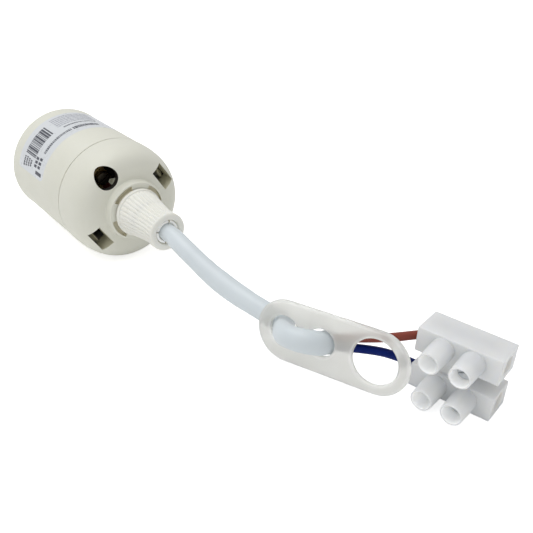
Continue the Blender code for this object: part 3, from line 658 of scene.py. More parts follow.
def build_skirt():
    """Skirt with a rounded rim, stepped mouth and moulded lamp thread."""
    inner = SKIRT_R - 1.7
    end = 40.0
    root, crest = 13.4, 12.3
    start, stop = 12.0, 33.0
    rim = [(end, 18.8), (end, SKIRT_R + 0.08), (4.0, SKIRT_R), (MOUTH_X, SKIRT_R + 0.15)]
    rim += [(MOUTH_X, inner + 0.35), (11.0, inner - 0.2)]
    section = [rim[0]] + rounded(rim[:3], 0.06, 2, False)[1:-1]
    section += rounded(rim[2:], 0.5, 5, False, (1, 2))
    shoulder = [(11.0, inner - 0.2), (11.0, root + 0.2), (start + 0.4, root)]
    section += rounded(shoulder, 0.5, 4, False)[1:]
    count = int((stop - start) / THREAD_PITCH * 14)
    for k in range(count + 1):
        section.append((start + (stop - start) * k / count, root))
    back = [(stop + 1.2, root + 0.3), (stop + 1.2, 15.2), (13.0, 15.2), (13.0, inner - 0.4)]
    back += [(end - 1.6, 17.6), (43.6, 17.6), (43.6, 18.8), (end + 0.3, 18.8)]
    section += rounded(back, 0.3, 3, False, range(1, len(back) - 1))

    def thread(x, r, angle):
        if r > root + 0.001 or x < start or x > stop:
            return r
        phase = (x / THREAD_PITCH - angle / (2.0 * math.pi)) * 2.0 * math.pi
        lift = min(1.0, (x - start) / 2.0, (stop - x) / 2.0)
        wave = 0.5 + 0.5 * math.cos(phase)
        return r - (root - crest) * lift * wave ** 0.8

    made = lathe("skirt_moulding", section, 192, IVORY, True, thread, 38.0)
    for angle in OPENING_ANGLES:
        outline = rounded(LATCH_ARM, 0.3, 3)
        # The latch arms take the painted shade of the opening walls.
        arm = prism("arm", outline, -3.4, 3.4, WALL_PAINTED_SHADE, turned(angle), 0.12)
        made = join(made, arm)
    tidy(made, 0.0, 38.0)
    settle(made, "skirt", "skirt_shell")


def dome_radius(x):
    t = min(max((x - CAP_START) / DOME_HEIGHT, 0.0), 1.0)
    swell = max(1.0 - t ** DOME_POWER, 0.0) ** (1.0 / DOME_POWER)
    return CROWN_R + (CAP_R - CROWN_R) * swell


def dome_section(offset, samples):
    """Dome from seam to crown, offset inward for the hollow's side."""
    points = []
    for k in range(samples + 1):
        t = math.sin(math.pi / 2.0 * k / samples) ** 0.8
        x = CAP_START + DOME_HEIGHT * t
        points.append((x - offset * t ** 6, dome_radius(x) - offset))
    return points


def build_cap():
    """Dome with boss, neck, openings with wells, round holes and arc slots."""
    dome = dome_section(0.0, 40)
    edge = [(SEAM_END, CAP_R - 2.4), (SEAM_END, CAP_R - 0.16), (CAP_START + 1.0, CAP_R)]
    outer = rounded(edge, 0.1, 3, False)[:-1] + dome[1:-2]
    boss = [(CROWN, 11.6), (CROWN + 0.05, 10.9), (BOSS_TOP, 10.55), (BOSS_TOP, 8.0)]
    outer += rounded(boss, 0.4, 6, False)
    outer += rounded([(BOSS_TOP, 7.2), (BOSS_TOP, 6.5), (66.4, 6.5)], 0.3, 3, False)
    made = lathe("dome_moulding", outer, 192, IVORY, False)
    # The hollow and its wells are cut with painted shade, so their faces come out near-black.
    hollow = [(CAP_START - 1.0, CAP_R - 2.0)] + dome_section(2.0, 20)
    cavity = lathe("cavity", hollow, 128, SHADED, False)
    well = ((CROWN - 7.6, -5.6, 12.1), (CROWN + 3.0, 5.6, 19.2))
    for angle in OPENING_ANGLES:
        cavity = cut(cavity, block("well", *well, SHADED, turned(angle)))
    made = cut(made, cavity)
    # The openings' walls take painted shade in olive.
    opening = ((CROWN - 12.0, -4.4, 13.3), (CROWN + 4.0, 4.4, 18.0))
    for angle in OPENING_ANGLES:
        made = cut(made, block("opening", *opening, WALL_PAINTED_SHADE, turned(angle)))
    # The round holes' walls take painted shade, almost black.
    for angle in HOLE_ANGLES:
        tool = lathe("hole", [(-8.0, HOLE_R), (4.0, HOLE_R)], 64, HOLE_PAINTED_SHADE, False)
        centre = around_x(CROWN, HOLE_OFF_AXIS, math.radians(angle))
        moved(tool, Matrix.Translation(centre))
        made = cut(made, tool)
    # The arc slots' walls take painted shade.
    for angle in ARC_ANGLES:
        made = cut(made, arc_cutter(angle))
    bore = [(CROWN - 6.0, NECK_BORE_R), (68.0, NECK_BORE_R)]
    made = cut(made, lathe("neck_bore", bore, 64, IVORY, False))
    tidy(made, 0.1, 34.0, 2)
    settle(made, "holder", "dome_cap")


def bent_bar(name, spans, look):
    """Bar bent round X: one (angle in radians, four (x, r) corners) a step."""
    work = bmesh.new()
    rings = []
    for at, corners in spans:
        rings.append([work.verts.new(around_x(x, r, at)) for x, r in corners])
    skin(work, rings)
    work.faces.new(rings[0])
    work.faces.new(rings[-1])
    return finish_mesh(name, work, look)


def arc_cutter(angle):
    """Tool for one of the arc slots in the boss, round the nut."""
    steps = 24
    low, high = BOSS_TOP - ARC_DEPTH, BOSS_TOP + 1.0
    inner, outer = ARC_INNER_R, ARC_OUTER_R
    corners = ((low, inner), (high, inner), (high, outer), (low, outer))
    spans = []
    for k in range(steps + 1):
        along = 2.0 * ARC_HALF_ANGLE * k / steps
        spans.append((math.radians(angle - ARC_HALF_ANGLE + along), corners))
    return bent_bar("arc", spans, SLOT_PAINTED_SHADE)


def build_nut():
    """Cord grip nut: lip, thirty-two crisp ribs on a cone, flared end ring."""
    s, e = NUT_START, NUT_END
    rib_start, rib_end = s + 1.45, s + 19.1
    cone_end = s + 14.6

    def outline(x):
        t = min((x - rib_start) / (cone_end - rib_start), 1.0)
        flare = 0.3 * smooth_step(x, cone_end - 0.8, s + 17.2)
        return 8.22 - 1.87 * t - 0.1 * math.sin(math.pi * t) + flare

    lip = [(s, 8.2), (s, 8.65), (s + 1.3, 8.65), (s + 1.4, 8.2)]
    section = rounded(lip, 0.26, 5, False, (1, 2))
    ribbed = []
    for k in range(65):
        x = rib_start + (rib_end - rib_start) * k / 64
        ribbed.append((x, outline(x)))
    section += ribbed
    bead = [(e - 0.3, 6.5), (e, 6.1), (e, 4.65)]
    bead += [(e - 0.4, 4.35), (s + 15.2, 4.35), (s + 9.0, 6.85), (s, 6.85)]
    section += rounded(bead, 0.3, 4, False, range(1, 6))
    levels = dict((round(x, 5), r) for x, r in ribbed)

    def ribs(x, r, angle):
        if abs(levels.get(round(x, 5), 0.0) - r) > 1e-6:
            return r
        start = min((x - rib_start) / 0.35, 1.0)
        fade = min((rib_end - x) / 0.8, 1.0)
        turn = angle / (2.0 * math.pi) * RIBS
        across = abs(turn - math.floor(turn) - 0.5) * 2.0
        groove = smooth_step(across, 0.4, 0.95)
        deep = 0.28 + 0.04 * (x - rib_start) / (rib_end - rib_start)
        return r - deep * start * max(fade, 0.0) * groove

    made = lathe("grip_nut_moulding", section, 640, WARM, True, ribs, 50.0)
    settle(made, "grip_nut", "cord_grip_nut")


def build_collet():
    """Split sleeve whose jaws show inside the nut's end."""
    s, e = COLLET_LOW.x, COLLET_HIGH.x
    section = [(s, 4.75), (66.7, 4.75), (66.9, 6.1), (69.4, 5.4), (72.9, 4.08)]
    section += [(e + 0.4, 4.1), (e + 0.4, 3.2), (e - 1.2, COLLET_BORE), (s, COLLET_BORE)]
    # The collet glows faintly: painted light.
    made = lathe("collet_moulding", rounded(section, 0.3, 3), 96, JAWS_PAINTED_GLOW)
    # The slits' walls take painted shade.
    slit = ((69.0, -0.25, -7.0), (e + 1.0, 0.25, 7.0))
    for angle in (-78.0, 12.0):
        made = cut(made, block("slit", *slit, SLOT_PAINTED_SHADE, turned(angle)))
    tidy(made, 0.08, 34.0, 2)
    settle(made, "grip_collet", "cord_grip_collet")


def build_label():
    """Film label with a block of plain bars and plain dashes for print."""
    low, high = SKIRT_R + 0.006, SKIRT_R + 0.05
    film = bent_patch("label_film", 5.0, 26.0, -79.0, 36.0, low, high, FILM)
    settle(film, "skirt", "rating_label")
    random.seed(7)
    dark = bmesh.new()
    grey = bmesh.new()
    level = high + 0.015
    at = -61.5
    while at < -30.0:
        width = random.choice((0.7, 0.7, 1.0, 1.5, 2.2))
        patch(dark, 8.6, 17.0, at, min(at + width, -29.5), level)
        at += width + random.choice((0.5, 0.7, 1.1))
    for line, x in enumerate((8.8, 10.6, 12.4, 14.2)):
        dashes(dark, x, 1.1, -75.0 + line, -64.0, level, 0.9, 2.4)
    dashes(dark, 20.8, 1.5, -52.0, -14.0, level, 0.7, 1.8)
    dashes(dark, 20.4, 2.2, -13.0, 16.0, level, 0.9, 2.2)
    for x in (7.0, 8.5, 10.0, 11.5, 13.0, 14.5):
        dashes(grey, x, 0.7, -22.0, 20.0, level, 0.7, 2.4)
    dashes(dark, 16.8, 0.9, -18.0, 18.0, level, 0.8, 2.2)
    for x0, starts in ((17.6, (-61.5, -65.5, -69.5)), (20.4, (-60.5, -65.0, -69.0))):
        for a0 in starts:
            patch(dark, x0, x0 + 2.0, a0, a0 + 2.8, level)
    patch(dark, 19.6, 24.4, -75.5, -72.0, level)
    bars = finish_mesh("label_bars", dark, PRINT, 40.0, True)
    settle(bars, "skirt")
    small_print = finish_mesh("label_small_print", grey, PRINT_GREY, 40.0, True)
    settle(small_print, "skirt")


def patch(work, x0, x1, a0, a1, r):
    """Thin curved strip on the label, from x0 to x1 and a0 to a1 degrees."""
    steps = max(1, int(abs(a1 - a0) / 2.0))
    thick = 0.02
    rings = []
    for k in range(steps + 1):
        at = math.radians(a0 + (a1 - a0) * k / steps)
        corners = ((x0, r - thick), (x1, r - thick), (x1, r), (x0, r))
        rings.append([work.verts.new(around_x(x, rr, at)) for x, rr in corners])
    for here, after in zip(rings, rings[1:]):
        for k in range(4):
            n = (k + 1) % 4
            work.faces.new((here[n], here[k], after[k], after[n]))
    work.faces.new(rings[0])
    work.faces.new(list(reversed(rings[-1])))


def dashes(work, x, height, a0, a1, r, least, most):
    """A row of dashes of uneven length in place of a line of print."""
    at = a0
    while at < a1 - least:
        run = min(random.uniform(least, most), a1 - at)
        patch(work, x, x + height, at, at + run, r)
        at += run + random.uniform(0.35, 0.8)


def bent_patch(name, x0, x1, a0, a1, low, high, look):
    """Curved sheet with rounded corners, from radius low to radius high."""
    steps = 60
    corner = 1.6
    spans = []
    for k in range(steps + 1):
        f = k / steps
        at = math.radians(a0 + (a1 - a0) * f)
        along = min(f, 1 - f) * math.radians(a1 - a0) * high
        inset = 0.0
        if along < corner:
            chord = max(corner ** 2 - max(corner - along, 0.0) ** 2, 0.0)
            inset = corner - math.sqrt(chord)
        left, right = x0 + inset, x1 - inset
        spans.append((at, ((left, low), (right, low), (right, high), (left, high))))
    return bent_bar(name, spans, look)


# ---------------------------------------------------------------- tag
TAG_LOW, TAG_HIGH = mm_box("hook_tag")
TAG_CENTRE = (TAG_LOW + TAG_HIGH) / 2.0
TAG_POINT, TAG_FRONT = mount("hook_tag_front")
TAG_HALF = 0.8
TO_MOUNT = TAG_POINT - TAG_CENTRE - TAG_FRONT * TAG_HALF
TAG_LONG = (TO_MOUNT - TAG_FRONT * TO_MOUNT.dot(TAG_FRONT)).normalized()
TAG_ACROSS = TAG_FRONT.cross(TAG_LONG)
TAG_END_R = 9.45
TAG_SPAN = 28.4
HOOK_AT = 27.7


def on_tag(u, w, o):
    """Point at u along, w across and o in front of the tag's centre."""
    return TAG_CENTRE + TAG_LONG * u + TAG_ACROSS * w + TAG_FRONT * o


def build_tag():
    """Plate with rounded edges, two cable holes and a hook hole."""
    half = TAG_SPAN / 2.0
    round_r = 0.55

    def stadium(inset):
        points = []
        r = TAG_END_R - inset
        for centre, first in ((-half, 90.0), (half, -90.0)):
            for k in range(61):
                at = math.radians(first + 180.0 * k / 60)
                points.append((centre + r * math.cos(at), r * math.sin(at)))
        return points

    def circle(centre, r, up=0.0):
        def loop(inset):
            use = r + inset
            points = []
            for k in range(96):
                turn = 2.0 * math.pi * k / 96
                points.append((centre + use * math.cos(turn), up + use * math.sin(turn)))
            return points

        return loop

    first_hole = circle(-half - 0.7, 4.6)
    second_hole = circle(-half + 11.4, 4.15, 0.2)
    hook_hole = circle(-half + HOOK_AT, 6.75)
    work = bmesh.new()
    front = []
    for k in range(6):
        t = math.pi / 2.0 * k / 5
        level = TAG_HALF - round_r * (1 - math.cos(t))
        front.append((round_r * (1 - math.sin(t)), level))
    back = [(inset, -level) for inset, level in reversed(front)]
    band = round_r + 0.3
    profile = [(band, TAG_HALF)] + front + back + [(band, -TAG_HALF)]
    for loop in (stadium, first_hole, second_hole, hook_hole):
        rings = []
        for inset, o in profile:
            rings.append([work.verts.new((u, w, o)) for u, w in loop(inset)])
        # The rounded edges and hole walls take the second finish, a painted highlight.
        for face in skin(work, rings):
            face.material_index = 1

    def lies_at(edge, level):
        return all(abs(vert.co.z - level) < 1e-6 for vert in edge.verts)

    for level in (TAG_HALF, -TAG_HALF):
        rim = [e for e in work.edges if e.is_boundary and lies_at(e, level)]
        bmesh.ops.triangle_fill(work, use_beauty=True, edges=rim)
    turn = Matrix((TAG_LONG, TAG_ACROSS, TAG_FRONT)).transposed().to_4x4()
    work.transform(Matrix.Translation(TAG_CENTRE) @ turn)
    made = finish_mesh("hook_tag_plate", work, PLATE, 50.0)
    made.data.materials.append(PLATE_RIM_HIGHLIGHT)
    settle(made, "tag_end", "hook_tag")


# ---------------------------------------------------------------- cable
CORE_R = 1.32
CORES_APART = 2.84
NEAR_BEND = (93.6, 0.85, -3.5)
JACKET_SEAM = (98.4, 1.5, -5.1)
BEFORE_LIFT = (102.9, 2.27, -6.5)
PATH_STEP = 0.7
WEAVE_RISE = math.radians(75.0)
WEAVE_CENTRE = -9.0
WEAVE_WANDER = (
    (-15.8, 0.0),
    (-13.0, 0.55),
    (-10.0, 0.98),
    (-6.5, 0.95),
    (-4.2, 0.65),
    (-3.0, 0.15),
    (-1.5, -0.25),
)


def wander(u):
    """How far across the tag the cable lies at a place along it."""
    if u <= WEAVE_WANDER[0][0]:
        return WEAVE_WANDER[0][1]
    for (u0, w0), (u1, w1) in zip(WEAVE_WANDER, WEAVE_WANDER[1:]):
        if u <= u1:
            t = (u - u0) / (u1 - u0)
            return w0 + (w1 - w0) * t
    return WEAVE_WANDER[-1][1]


def weave(steps):
    """Up through one hole of the tag, over the bar, down through the next."""
    half_chord, low, high = 6.55, -4.5, 4.55
    r_top = half_chord / math.sin(WEAVE_RISE)
    shift = high - r_top * (1.0 - math.cos(WEAVE_RISE))
    r_low = (shift - low) / (1.0 - math.cos(WEAVE_RISE))
    reach = half_chord + r_low * math.sin(WEAVE_RISE)
    points = []
    for k in range(steps):
        t = WEAVE_RISE * k / steps
        points.append((r_low * math.sin(t) - reach, low + r_low * (1.0 - math.cos(t))))
    for k in range(-steps, steps + 1):
        t = WEAVE_RISE * k / steps
        points.append((r_top * math.sin(t), high - r_top * (1.0 - math.cos(t))))
    for k in range(steps - 1, steps * 2 // 3 - 1, -1):
        t = WEAVE_RISE * k / steps
        points.append((reach - r_low * math.sin(t), low + r_low * (1.0 - math.cos(t))))
    return [on_tag(WEAVE_CENTRE + u, wander(WEAVE_CENTRE + u), o) for u, o in points]


def lead_path(steps):
    """Centre line of the cable from before the lift bend through the tag."""
    woven = weave(steps)
    approach = [BEFORE_LIFT, LIFT, (112.6, 4.05, -8.5)]
    approach += [(118.2, 4.95, -9.1), (123.2, 5.7, -9.4), woven[0]]
    return smooth_path(approach, PATH_STEP) + woven[1:]


WIDTHS = (
    (81.5, 2.88),
    (84.5, 3.16),
    (94.0, 3.2),
    (99.5, 3.36),
    (105.0, 3.52),
    (113.0, 3.45),
    (118.0, 3.3),
    (124.0, 3.35),
    (130.0, 3.44),
    (141.0, 3.44),
    (146.0, 3.56),
)
OVAL = Vector((0.04, 0.69, 0.73))
NARROW = 3.05


def jacket(point, toward):
    """Jacket's outline: oval over two cores, its long side turning slowly."""
    wide = WIDTHS[-1][1]
    if point.x <= WIDTHS[0][0]:
        wide = WIDTHS[0][1]
    for (x0, r0), (x1, r1) in zip(WIDTHS, WIDTHS[1:]):
        if x0 < point.x <= x1:
            wide = r0 + (r1 - r0) * smooth_step(point.x, x0, x1)
    across = TAG_ACROSS if TAG_ACROSS.dot(OVAL) > 0.0 else -TAG_ACROSS
    long_side = OVAL.lerp(across, smooth_step(point.x, 112.0, 122.0)).normalized()
    swell = 2.0 * toward.dot(long_side) ** 2 - 1.0
    narrow = min(wide, NARROW)
    return (wide + narrow) / 2.0 + (wide - narrow) / 2.0 * max(swell, -1.0)


def build_sheath():
    """Jacket as two lengths, each drawn across one joint."""
    straight = [(52.0, 0, 0), (66.0, 0, 0), (80.0, 0, 0), (84.0, 0.03, -0.65)]
    shared = [NEAR_BEND, JACKET_SEAM, BEFORE_LIFT]
    near = smooth_path(straight + [SWING] + shared, PATH_STEP)
    near = near[: nearest(near, JACKET_SEAM) + 1]
    far = smooth_path(shared + [LIFT], PATH_STEP)
    far = far[nearest(far, near[-1]) : nearest(far, BEFORE_LIFT)]
    rest = far + lead_path(18)
    made = sweep("sheath_by_grip", near, jacket, PVC, side=(0, 0, 1))
    settle(made, None, "sheath_grip_end")
    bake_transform(made)
    end = [(0.0, 0.97), (0.08, 0.93), (0.05, 0.82), (-0.1, 0.79), (-1.6, 0.78)]
    made = sweep("sheath_by_tag", rest, jacket, PVC, tail=end, side=(0, 0, 1))
    settle(made, None, "sheath_middle", "sheath_tag_end")
    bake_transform(made)


# ---------------------------------------------------------------- cores
BLOCK_POINT, BLOCK_BACK = mount("block_back")
BLOCK_ALONG = Vector((BLOCK_BACK.y, -BLOCK_BACK.x, 0.0)).normalized()
BLOCK_LENGTH = 24.25
BLOCK_DEPTH = 10.65
BLOCK_HEIGHT = 7.35
POLE_PITCH = 12.28
TURRET_AT = (7.9, 16.8)
TURRET_LENGTH = 8.9
BLOCK_CORNER = BLOCK_POINT - BLOCK_ALONG * 12.1 - BLOCK_BACK * BLOCK_DEPTH
BLOCK_CORNER = BLOCK_CORNER + Vector((0, 0, 3.7))
CORE_LIES = ((-1.75, -0.9), (-0.2, 0.0))
CLAMP_TURN = (("brown", "live", -35.0), ("blue", "neutral", 145.0))
CLAMP_ENTRY = (43.2, 0.0, 9.3)


def block_point(along, back, up):
    """Drawing point measured from the block's upper front corner."""
    return BLOCK_CORNER + BLOCK_ALONG * along + BLOCK_BACK * back + Vector((0, 0, up))


def pole_height(pole):
    """Height of a pole's passage below the block's corner."""
    return -BLOCK_HEIGHT / 2.0 - POLE_PITCH * pole


def core_outline(_point, _toward):
    return CORE_R


def build_cores():
    """Brown and blue cores from the jacket's end to the block, bending."""
    lead = lead_path(6)
    end = lead[-1]
    along = (lead[-1] - lead[-2]).normalized()
    for pole, colour, look in ((0, "brown", BROWN), (1, "blue", BLUE)):
        lift = CORES_APART / 2.0 if pole == 0 else -CORES_APART / 2.0
        upward = Vector((0, 0, 1))
        upward = (upward - along * upward.dot(along)).normalized()
        points = [end - along * 1.2 + upward * lift]
        points.append(end + along * 0.25 + upward * lift)
        points.append(end + along * 2.45 + upward * lift)
        points.append(Vector((SPLAY.x, SPLAY.y, -6.9 if pole == 0 else -11.9)))
        sag, rest = CORE_LIES[pole]
        middle = BLOCK_DEPTH / 2.0
        points.append(block_point(-0.6, middle, pole_height(pole) + sag))
        entry = block_point(2.6, middle, pole_height(pole) + rest)
        path = smooth_path(points + [entry], 0.5)
        made = sweep(colour + "_core", path, core_outline, look, tail=[(0.06, 0.9)])
        settle(made, None, colour + "_core_tag_side", colour + "_core_block_side")
        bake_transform(made)
        bare = strands(colour + "_block_strands", entry, BLOCK_ALONG, 7.9)
        settle(bare, "terminal_block", colour + "_copper_block_end")


def strands(name, start, along, length):
    """Bare end: seven copper strands in a long twist."""
    place = pointing(start, along)
    work = bmesh.new()
    for k in range(7):
        path = []
        for i in range(21):
            t = i / 20
            angle = 2 * math.pi * k / 6 + 2.2 * t
            r = 0.0 if k == 6 else 0.4
            x = -0.3 + (length + 0.3) * t
            path.append(place @ Vector((x, r * math.cos(angle), r * math.sin(angle))))
        strand(work, path, 0.19)
    return finish_mesh(name, work, COPPER, 60.0, True)


def strand(work, path, r):
    """Add one thin round wire along a path."""
    rings = []
    side = Vector((0.3, 0.5, 0.8))
    for i, centre in enumerate(path):
        along = tangent(path, i)
        side = (side - along * side.dot(along)).normalized()
        other = along.cross(side)
        ring = []
        for k in range(8):
            a = math.pi * k / 4
            toward = side * math.cos(a) + other * math.sin(a)
            ring.append(work.verts.new(centre + toward * r))
        rings.append(ring)
    skin(work, rings)
    work.faces.new(list(reversed(rings[0])))
    work.faces.new(rings[-1])


def build_holder_cores():
    """Core ends inside the lampholder, from the cable to the clamps."""
    for (colour, _, angle), look in zip(CLAMP_TURN, (BROWN, BLUE)):
        place = turned(angle)
        points = [(52.6, 0.0, CORES_APART / 2.0), (49.0, 0.0, 1.75)]
        points += [(45.2, 0.0, 3.6), (43.4, 0.0, 6.2), CLAMP_ENTRY]
        path = smooth_path([place @ Vector(p) for p in points], 0.5)
        made = sweep(colour + "_core_in_holder", path, core_outline, look)
        settle(made, "holder", colour + "_core_holder_side")
        start = place @ Vector(CLAMP_ENTRY)
        out = place @ Vector((0.0, 0.0, 1.0))
        bare = strands(colour + "_holder_strands", start, out, 4.7)
        settle(bare, "holder", colour + "_copper_holder_end")


# ---------------------------------------------------------------- terminal block
# shank radius and length, head radius and height
TERMINAL_SCREW = (1.45, 7.9, 2.2, 1.4)
CLAMP_SCREW = (1.25, 2.7, 2.3, 1.6)
TURRET_BORE_R = 2.55
PASSAGE_R = 2.75
FIXING_HOLE_R = 1.65


def block_place():
    """Matrix from the block's own axes to the drawing."""
    turn = Matrix((BLOCK_ALONG, BLOCK_BACK, Vector((0, 0, 1)))).transposed().to_4x4()
    return Matrix.Translation(BLOCK_CORNER) @ turn


def build_block():
    """Two-pole housing with rounded edges, tubular turrets and a web."""
    place = block_place()
    size = (BLOCK_LENGTH + 0.2, BLOCK_DEPTH + 0.1, 0.2)
    made = block("block_moulding", (-0.12, 0, -BLOCK_HEIGHT - 0.2), size, POLY, None, 0.14)
    low = (-0.12, 0, -BLOCK_HEIGHT - POLE_PITCH - 0.15)
    high = (BLOCK_LENGTH + 0.1, BLOCK_DEPTH + 0.1, -POLE_PITCH + 0.1)
    made = join(made, block("pole", low, high, POLY, None, 0.14))
    low = (7.5, 1.6, -POLE_PITCH - 0.5)
    high = (17.0, BLOCK_DEPTH - 0.8, -BLOCK_HEIGHT + 0.5)
    made = join(made, block("web", low, high, POLY, None, 0.2))
    for pole in (0, 1):
        z = pole_height(pole)
        for at in TURRET_AT:
            section = [(-1.0, 3.5), (TURRET_LENGTH, 3.2), (TURRET_LENGTH, 1.0)]
            section = rounded(section, 0.4, 6, False)
            turret = lathe("turret", section, 72, POLY, False)
            moved(turret, pointing((at, 0, z), (0, -1, 0)))
            made = join(made, turret)
    for pole in (0, 1):
        z = pole_height(pole)
        for at in TURRET_AT:
            # The bore walls glow faintly: painted light.
            bore = [(-BLOCK_DEPTH / 2.0, TURRET_BORE_R)]
            bore += [(TURRET_LENGTH - 0.25, TURRET_BORE_R), (TURRET_LENGTH + 0.6, 3.1)]
            tool = lathe("bore", rounded(bore, 0.5, 4, False), 72, BORE_PAINTED_GLOW, False)
            moved(tool, pointing((at, 0, z), (0, -1, 0)))
            made = cut(made, tool)
        # The passage walls glow faintly: painted light.
        passage = [(-1.0, 3.0), (0.3, PASSAGE_R)]
        passage += [(BLOCK_LENGTH - 0.3, PASSAGE_R), (BLOCK_LENGTH + 1.0, 2.9)]
        tool = lathe("passage", passage, 72, PASSAGE_PAINTED_GLOW, False)
        moved(tool, Matrix.Translation((0, BLOCK_DEPTH / 2.0, z)))
        made = cut(made, tool)
    hole = [(-1.0, FIXING_HOLE_R), (BLOCK_DEPTH + 1.0, FIXING_HOLE_R)]
    hole = lathe("hole", hole, 48, POLY, False)
    z = -(BLOCK_HEIGHT + POLE_PITCH) / 2.0
    moved(hole, pointing((12.25, 0, z), (0, 1, 0)))
    made = cut(made, hole)
    tidy(made, 0.0, 34.0)
    moved(made, place)
    settle(made, "terminal_block", "terminal_block_housing")


def screw_piece(node, tip, along, side, size, look):
    """Slotted machine screw with a rolled thread and a chamfered head."""
    shank_r, shank, head_r, head = size
    pitch = 0.5 if shank_r < 1.5 else 0.7
    section = [(0.0, shank_r - 0.45), (0.35, shank_r - 0.12)]
    rows = int(shank / pitch * 8)
    for k in range(rows + 1):
        section.append((0.4 + (shank - 0.6) * k / rows, shank_r))
    first, last = 0.4, shank - 0.2
    section.append((shank - 0.1, shank_r - 0.15))
    tail = [(shank, shank_r), (shank, head_r), (shank + head, head_r), (shank + head, 0.6)]
    section += rounded(tail, 0.3, 4, False, (1, 2))

    def thread(x, r, angle):
        if x < first or x > last or abs(r - shank_r) > 0.001:
            return r
        phase = (x / pitch - angle / (2 * math.pi)) * 2 * math.pi
        return r - 0.11 * (1.0 - math.cos(phase))

    made = lathe(node + "_piece", section, 48, look, False, thread, 45.0)
    top = shank + head
    low = (top - 0.85, -head_r - 1.0, -0.27)
    made = cut(made, block("slot", low, (top + 1.0, head_r + 1.0, 0.27), look))
    tidy(made, 0.05, 34.0, 1)
    moved(made, pointing(tip, along, side))
    settle(made, node, node)


def build_screws():
    """Four terminal screws, then the two clamp screws in the lampholder."""
    for pole, colour in ((0, "brown"), (1, "blue")):
        heads = (-2.6, -5.4 + 1.2 * pole)
        for at, where, top_y in zip(TURRET_AT, ("inlet", "outlet"), heads):
            tip = block_point(at, top_y + 9.3, pole_height(pole))
            side = BLOCK_ALONG + Vector((0, 0, 0.5))
            node = f"{colour}_{where}_screw"
            screw_piece(node, tip, -BLOCK_BACK, side, TERMINAL_SCREW, STEEL)
    for _, name, angle in CLAMP_TURN:
        place = turned(angle)
        tip = place @ Vector((44.3, 0, 12.6))
        side = place @ Vector((0, 1, 0))
        # The clamp screws are coloured dark brown: painted shade.
        screw_piece(name + "_clamp_screw", tip, (1, 0, 0), side, CLAMP_SCREW, SCREW_PAINTED_SHADE)


def paint(node, look):
    """Give a CAD node that stays visible its own finish."""
    piece = frame["nodes"][node]
    for place in piece.material_slots:
        place.material = look


BRASS_NODES = (
    "centre_contact",
    "side_contact",
    "live_clamp",
    "neutral_clamp",
    "brown_clamp_tube",
    "blue_clamp_tube",
)


def dress_frame():
    paint("contact_carrier", CARRIER)
    for node in BRASS_NODES:
        paint(node, BRASS)


# ---------------------------------------------------------------- stage
FLOOR_REACH = 6.0
FLOOR_GLOW_SEEN = 0.6
FLOOR_GLOW_OTHER = 0.08
SKY_STRENGTH = 0.56
LIGHT_TARGET = (90, 0, 0)
# place in drawing millimetres, size in metres, power in watts
KEY_LIGHT = ((-120, -150, 780), 0.7, 3.7)
FILL_LIGHT = ((500, -500, 350), 0.6, 0.3)
# the camera fitted to the photo
EYE = (257.532, -108.775, 105.544)
EYE_RIGHT = (0.62801, 0.77688, 0.04558)
EYE_AHEAD = (-0.66334, 0.56494, -0.49086)
LENS_MM = 47.08


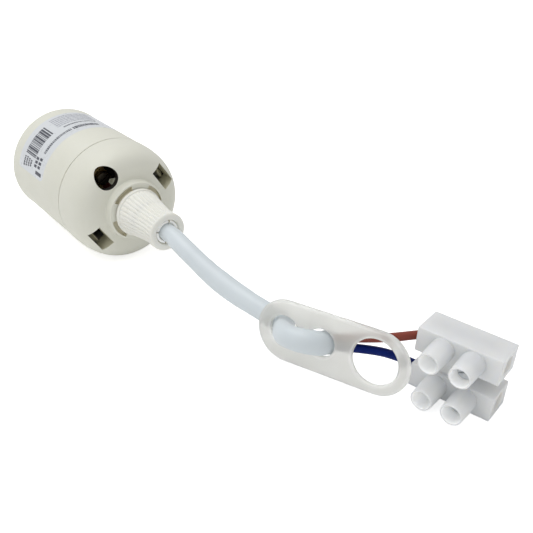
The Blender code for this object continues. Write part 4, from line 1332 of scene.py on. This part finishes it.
def build_floor():
    """Pale floor that glows to the camera and hardly at all to the part."""
    low = CAD_BOX[0][2]
    mesh = bpy.data.meshes.new("floor")
    s = FLOOR_REACH
    corners = [(-s, -s, low), (s, -s, low), (s, s, low), (-s, s, low)]
    mesh.from_pydata(corners, [], [(0, 1, 2, 3)])
    floor = bpy.data.objects.new("floor", mesh)
    bpy.context.scene.collection.objects.link(floor)
    made, tree, shader = shader_tree("floor_look")
    shader.inputs["Base Color"].default_value = (0.92, 0.92, 0.92, 1.0)
    shader.inputs["Roughness"].default_value = 0.9
    shader.inputs["Specular IOR Level"].default_value = 0.1
    shader.inputs["Emission Color"].default_value = (1.0, 1.0, 1.0, 1.0)
    path = tree.nodes.new("ShaderNodeLightPath")
    seen = tree.nodes.new("ShaderNodeMath")
    seen.operation = "MAXIMUM"
    tree.links.new(path.outputs["Is Camera Ray"], seen.inputs[0])
    tree.links.new(path.outputs["Is Transmission Ray"], seen.inputs[1])
    glow = remap(tree, seen.outputs[0], FLOOR_GLOW_OTHER, FLOOR_GLOW_SEEN, 0.0, 1.0)
    tree.links.new(glow, shader.inputs["Emission Strength"])
    mesh.materials.append(made)


def build_lights():
    world = bpy.data.worlds.new("studio")
    bpy.context.scene.world = world
    world.use_nodes = True
    sky = world.node_tree.nodes["Background"]
    sky.inputs["Color"].default_value = (1.0, 1.0, 1.0, 1.0)
    sky.inputs["Strength"].default_value = SKY_STRENGTH
    lamp("key", *KEY_LIGHT)
    lamp("fill", *FILL_LIGHT)


def build_camera():
    view = bpy.context.scene.view_settings
    view.view_transform = "Standard"
    view.look = "None"
    camera = bpy.data.cameras.new("camera")
    camera.lens = LENS_MM
    camera.sensor_width = 36.0
    camera.clip_start = 0.01
    camera.clip_end = 30.0
    eye = bpy.data.objects.new("camera", camera)
    bpy.context.scene.collection.objects.link(eye)
    right = Vector(EYE_RIGHT).normalized()
    ahead = Vector(EYE_AHEAD).normalized()
    up = right.cross(ahead).normalized()
    turn = Matrix((right, up, -ahead)).transposed().to_4x4()
    eye.matrix_world = Matrix.Translation(Vector(row(EYE))) @ turn
    bpy.context.scene.camera = eye


def lamp(name, place, size, power):
    """Square area light aimed at the part's middle."""
    light = bpy.data.lights.new(name, "AREA")
    light.size = size
    light.energy = power
    made = bpy.data.objects.new(name, light)
    bpy.context.scene.collection.objects.link(made)
    made.location = row(place)
    aim = Vector(row(LIGHT_TARGET)) - Vector(row(place))
    made.rotation_euler = aim.to_track_quat("-Z", "Y").to_euler()


build_skirt()
build_cap()
build_nut()
build_collet()
build_label()
build_tag()
build_sheath()
build_cores()
build_holder_cores()
build_block()
build_screws()
dress_frame()
build_floor()
build_lights()
build_camera()
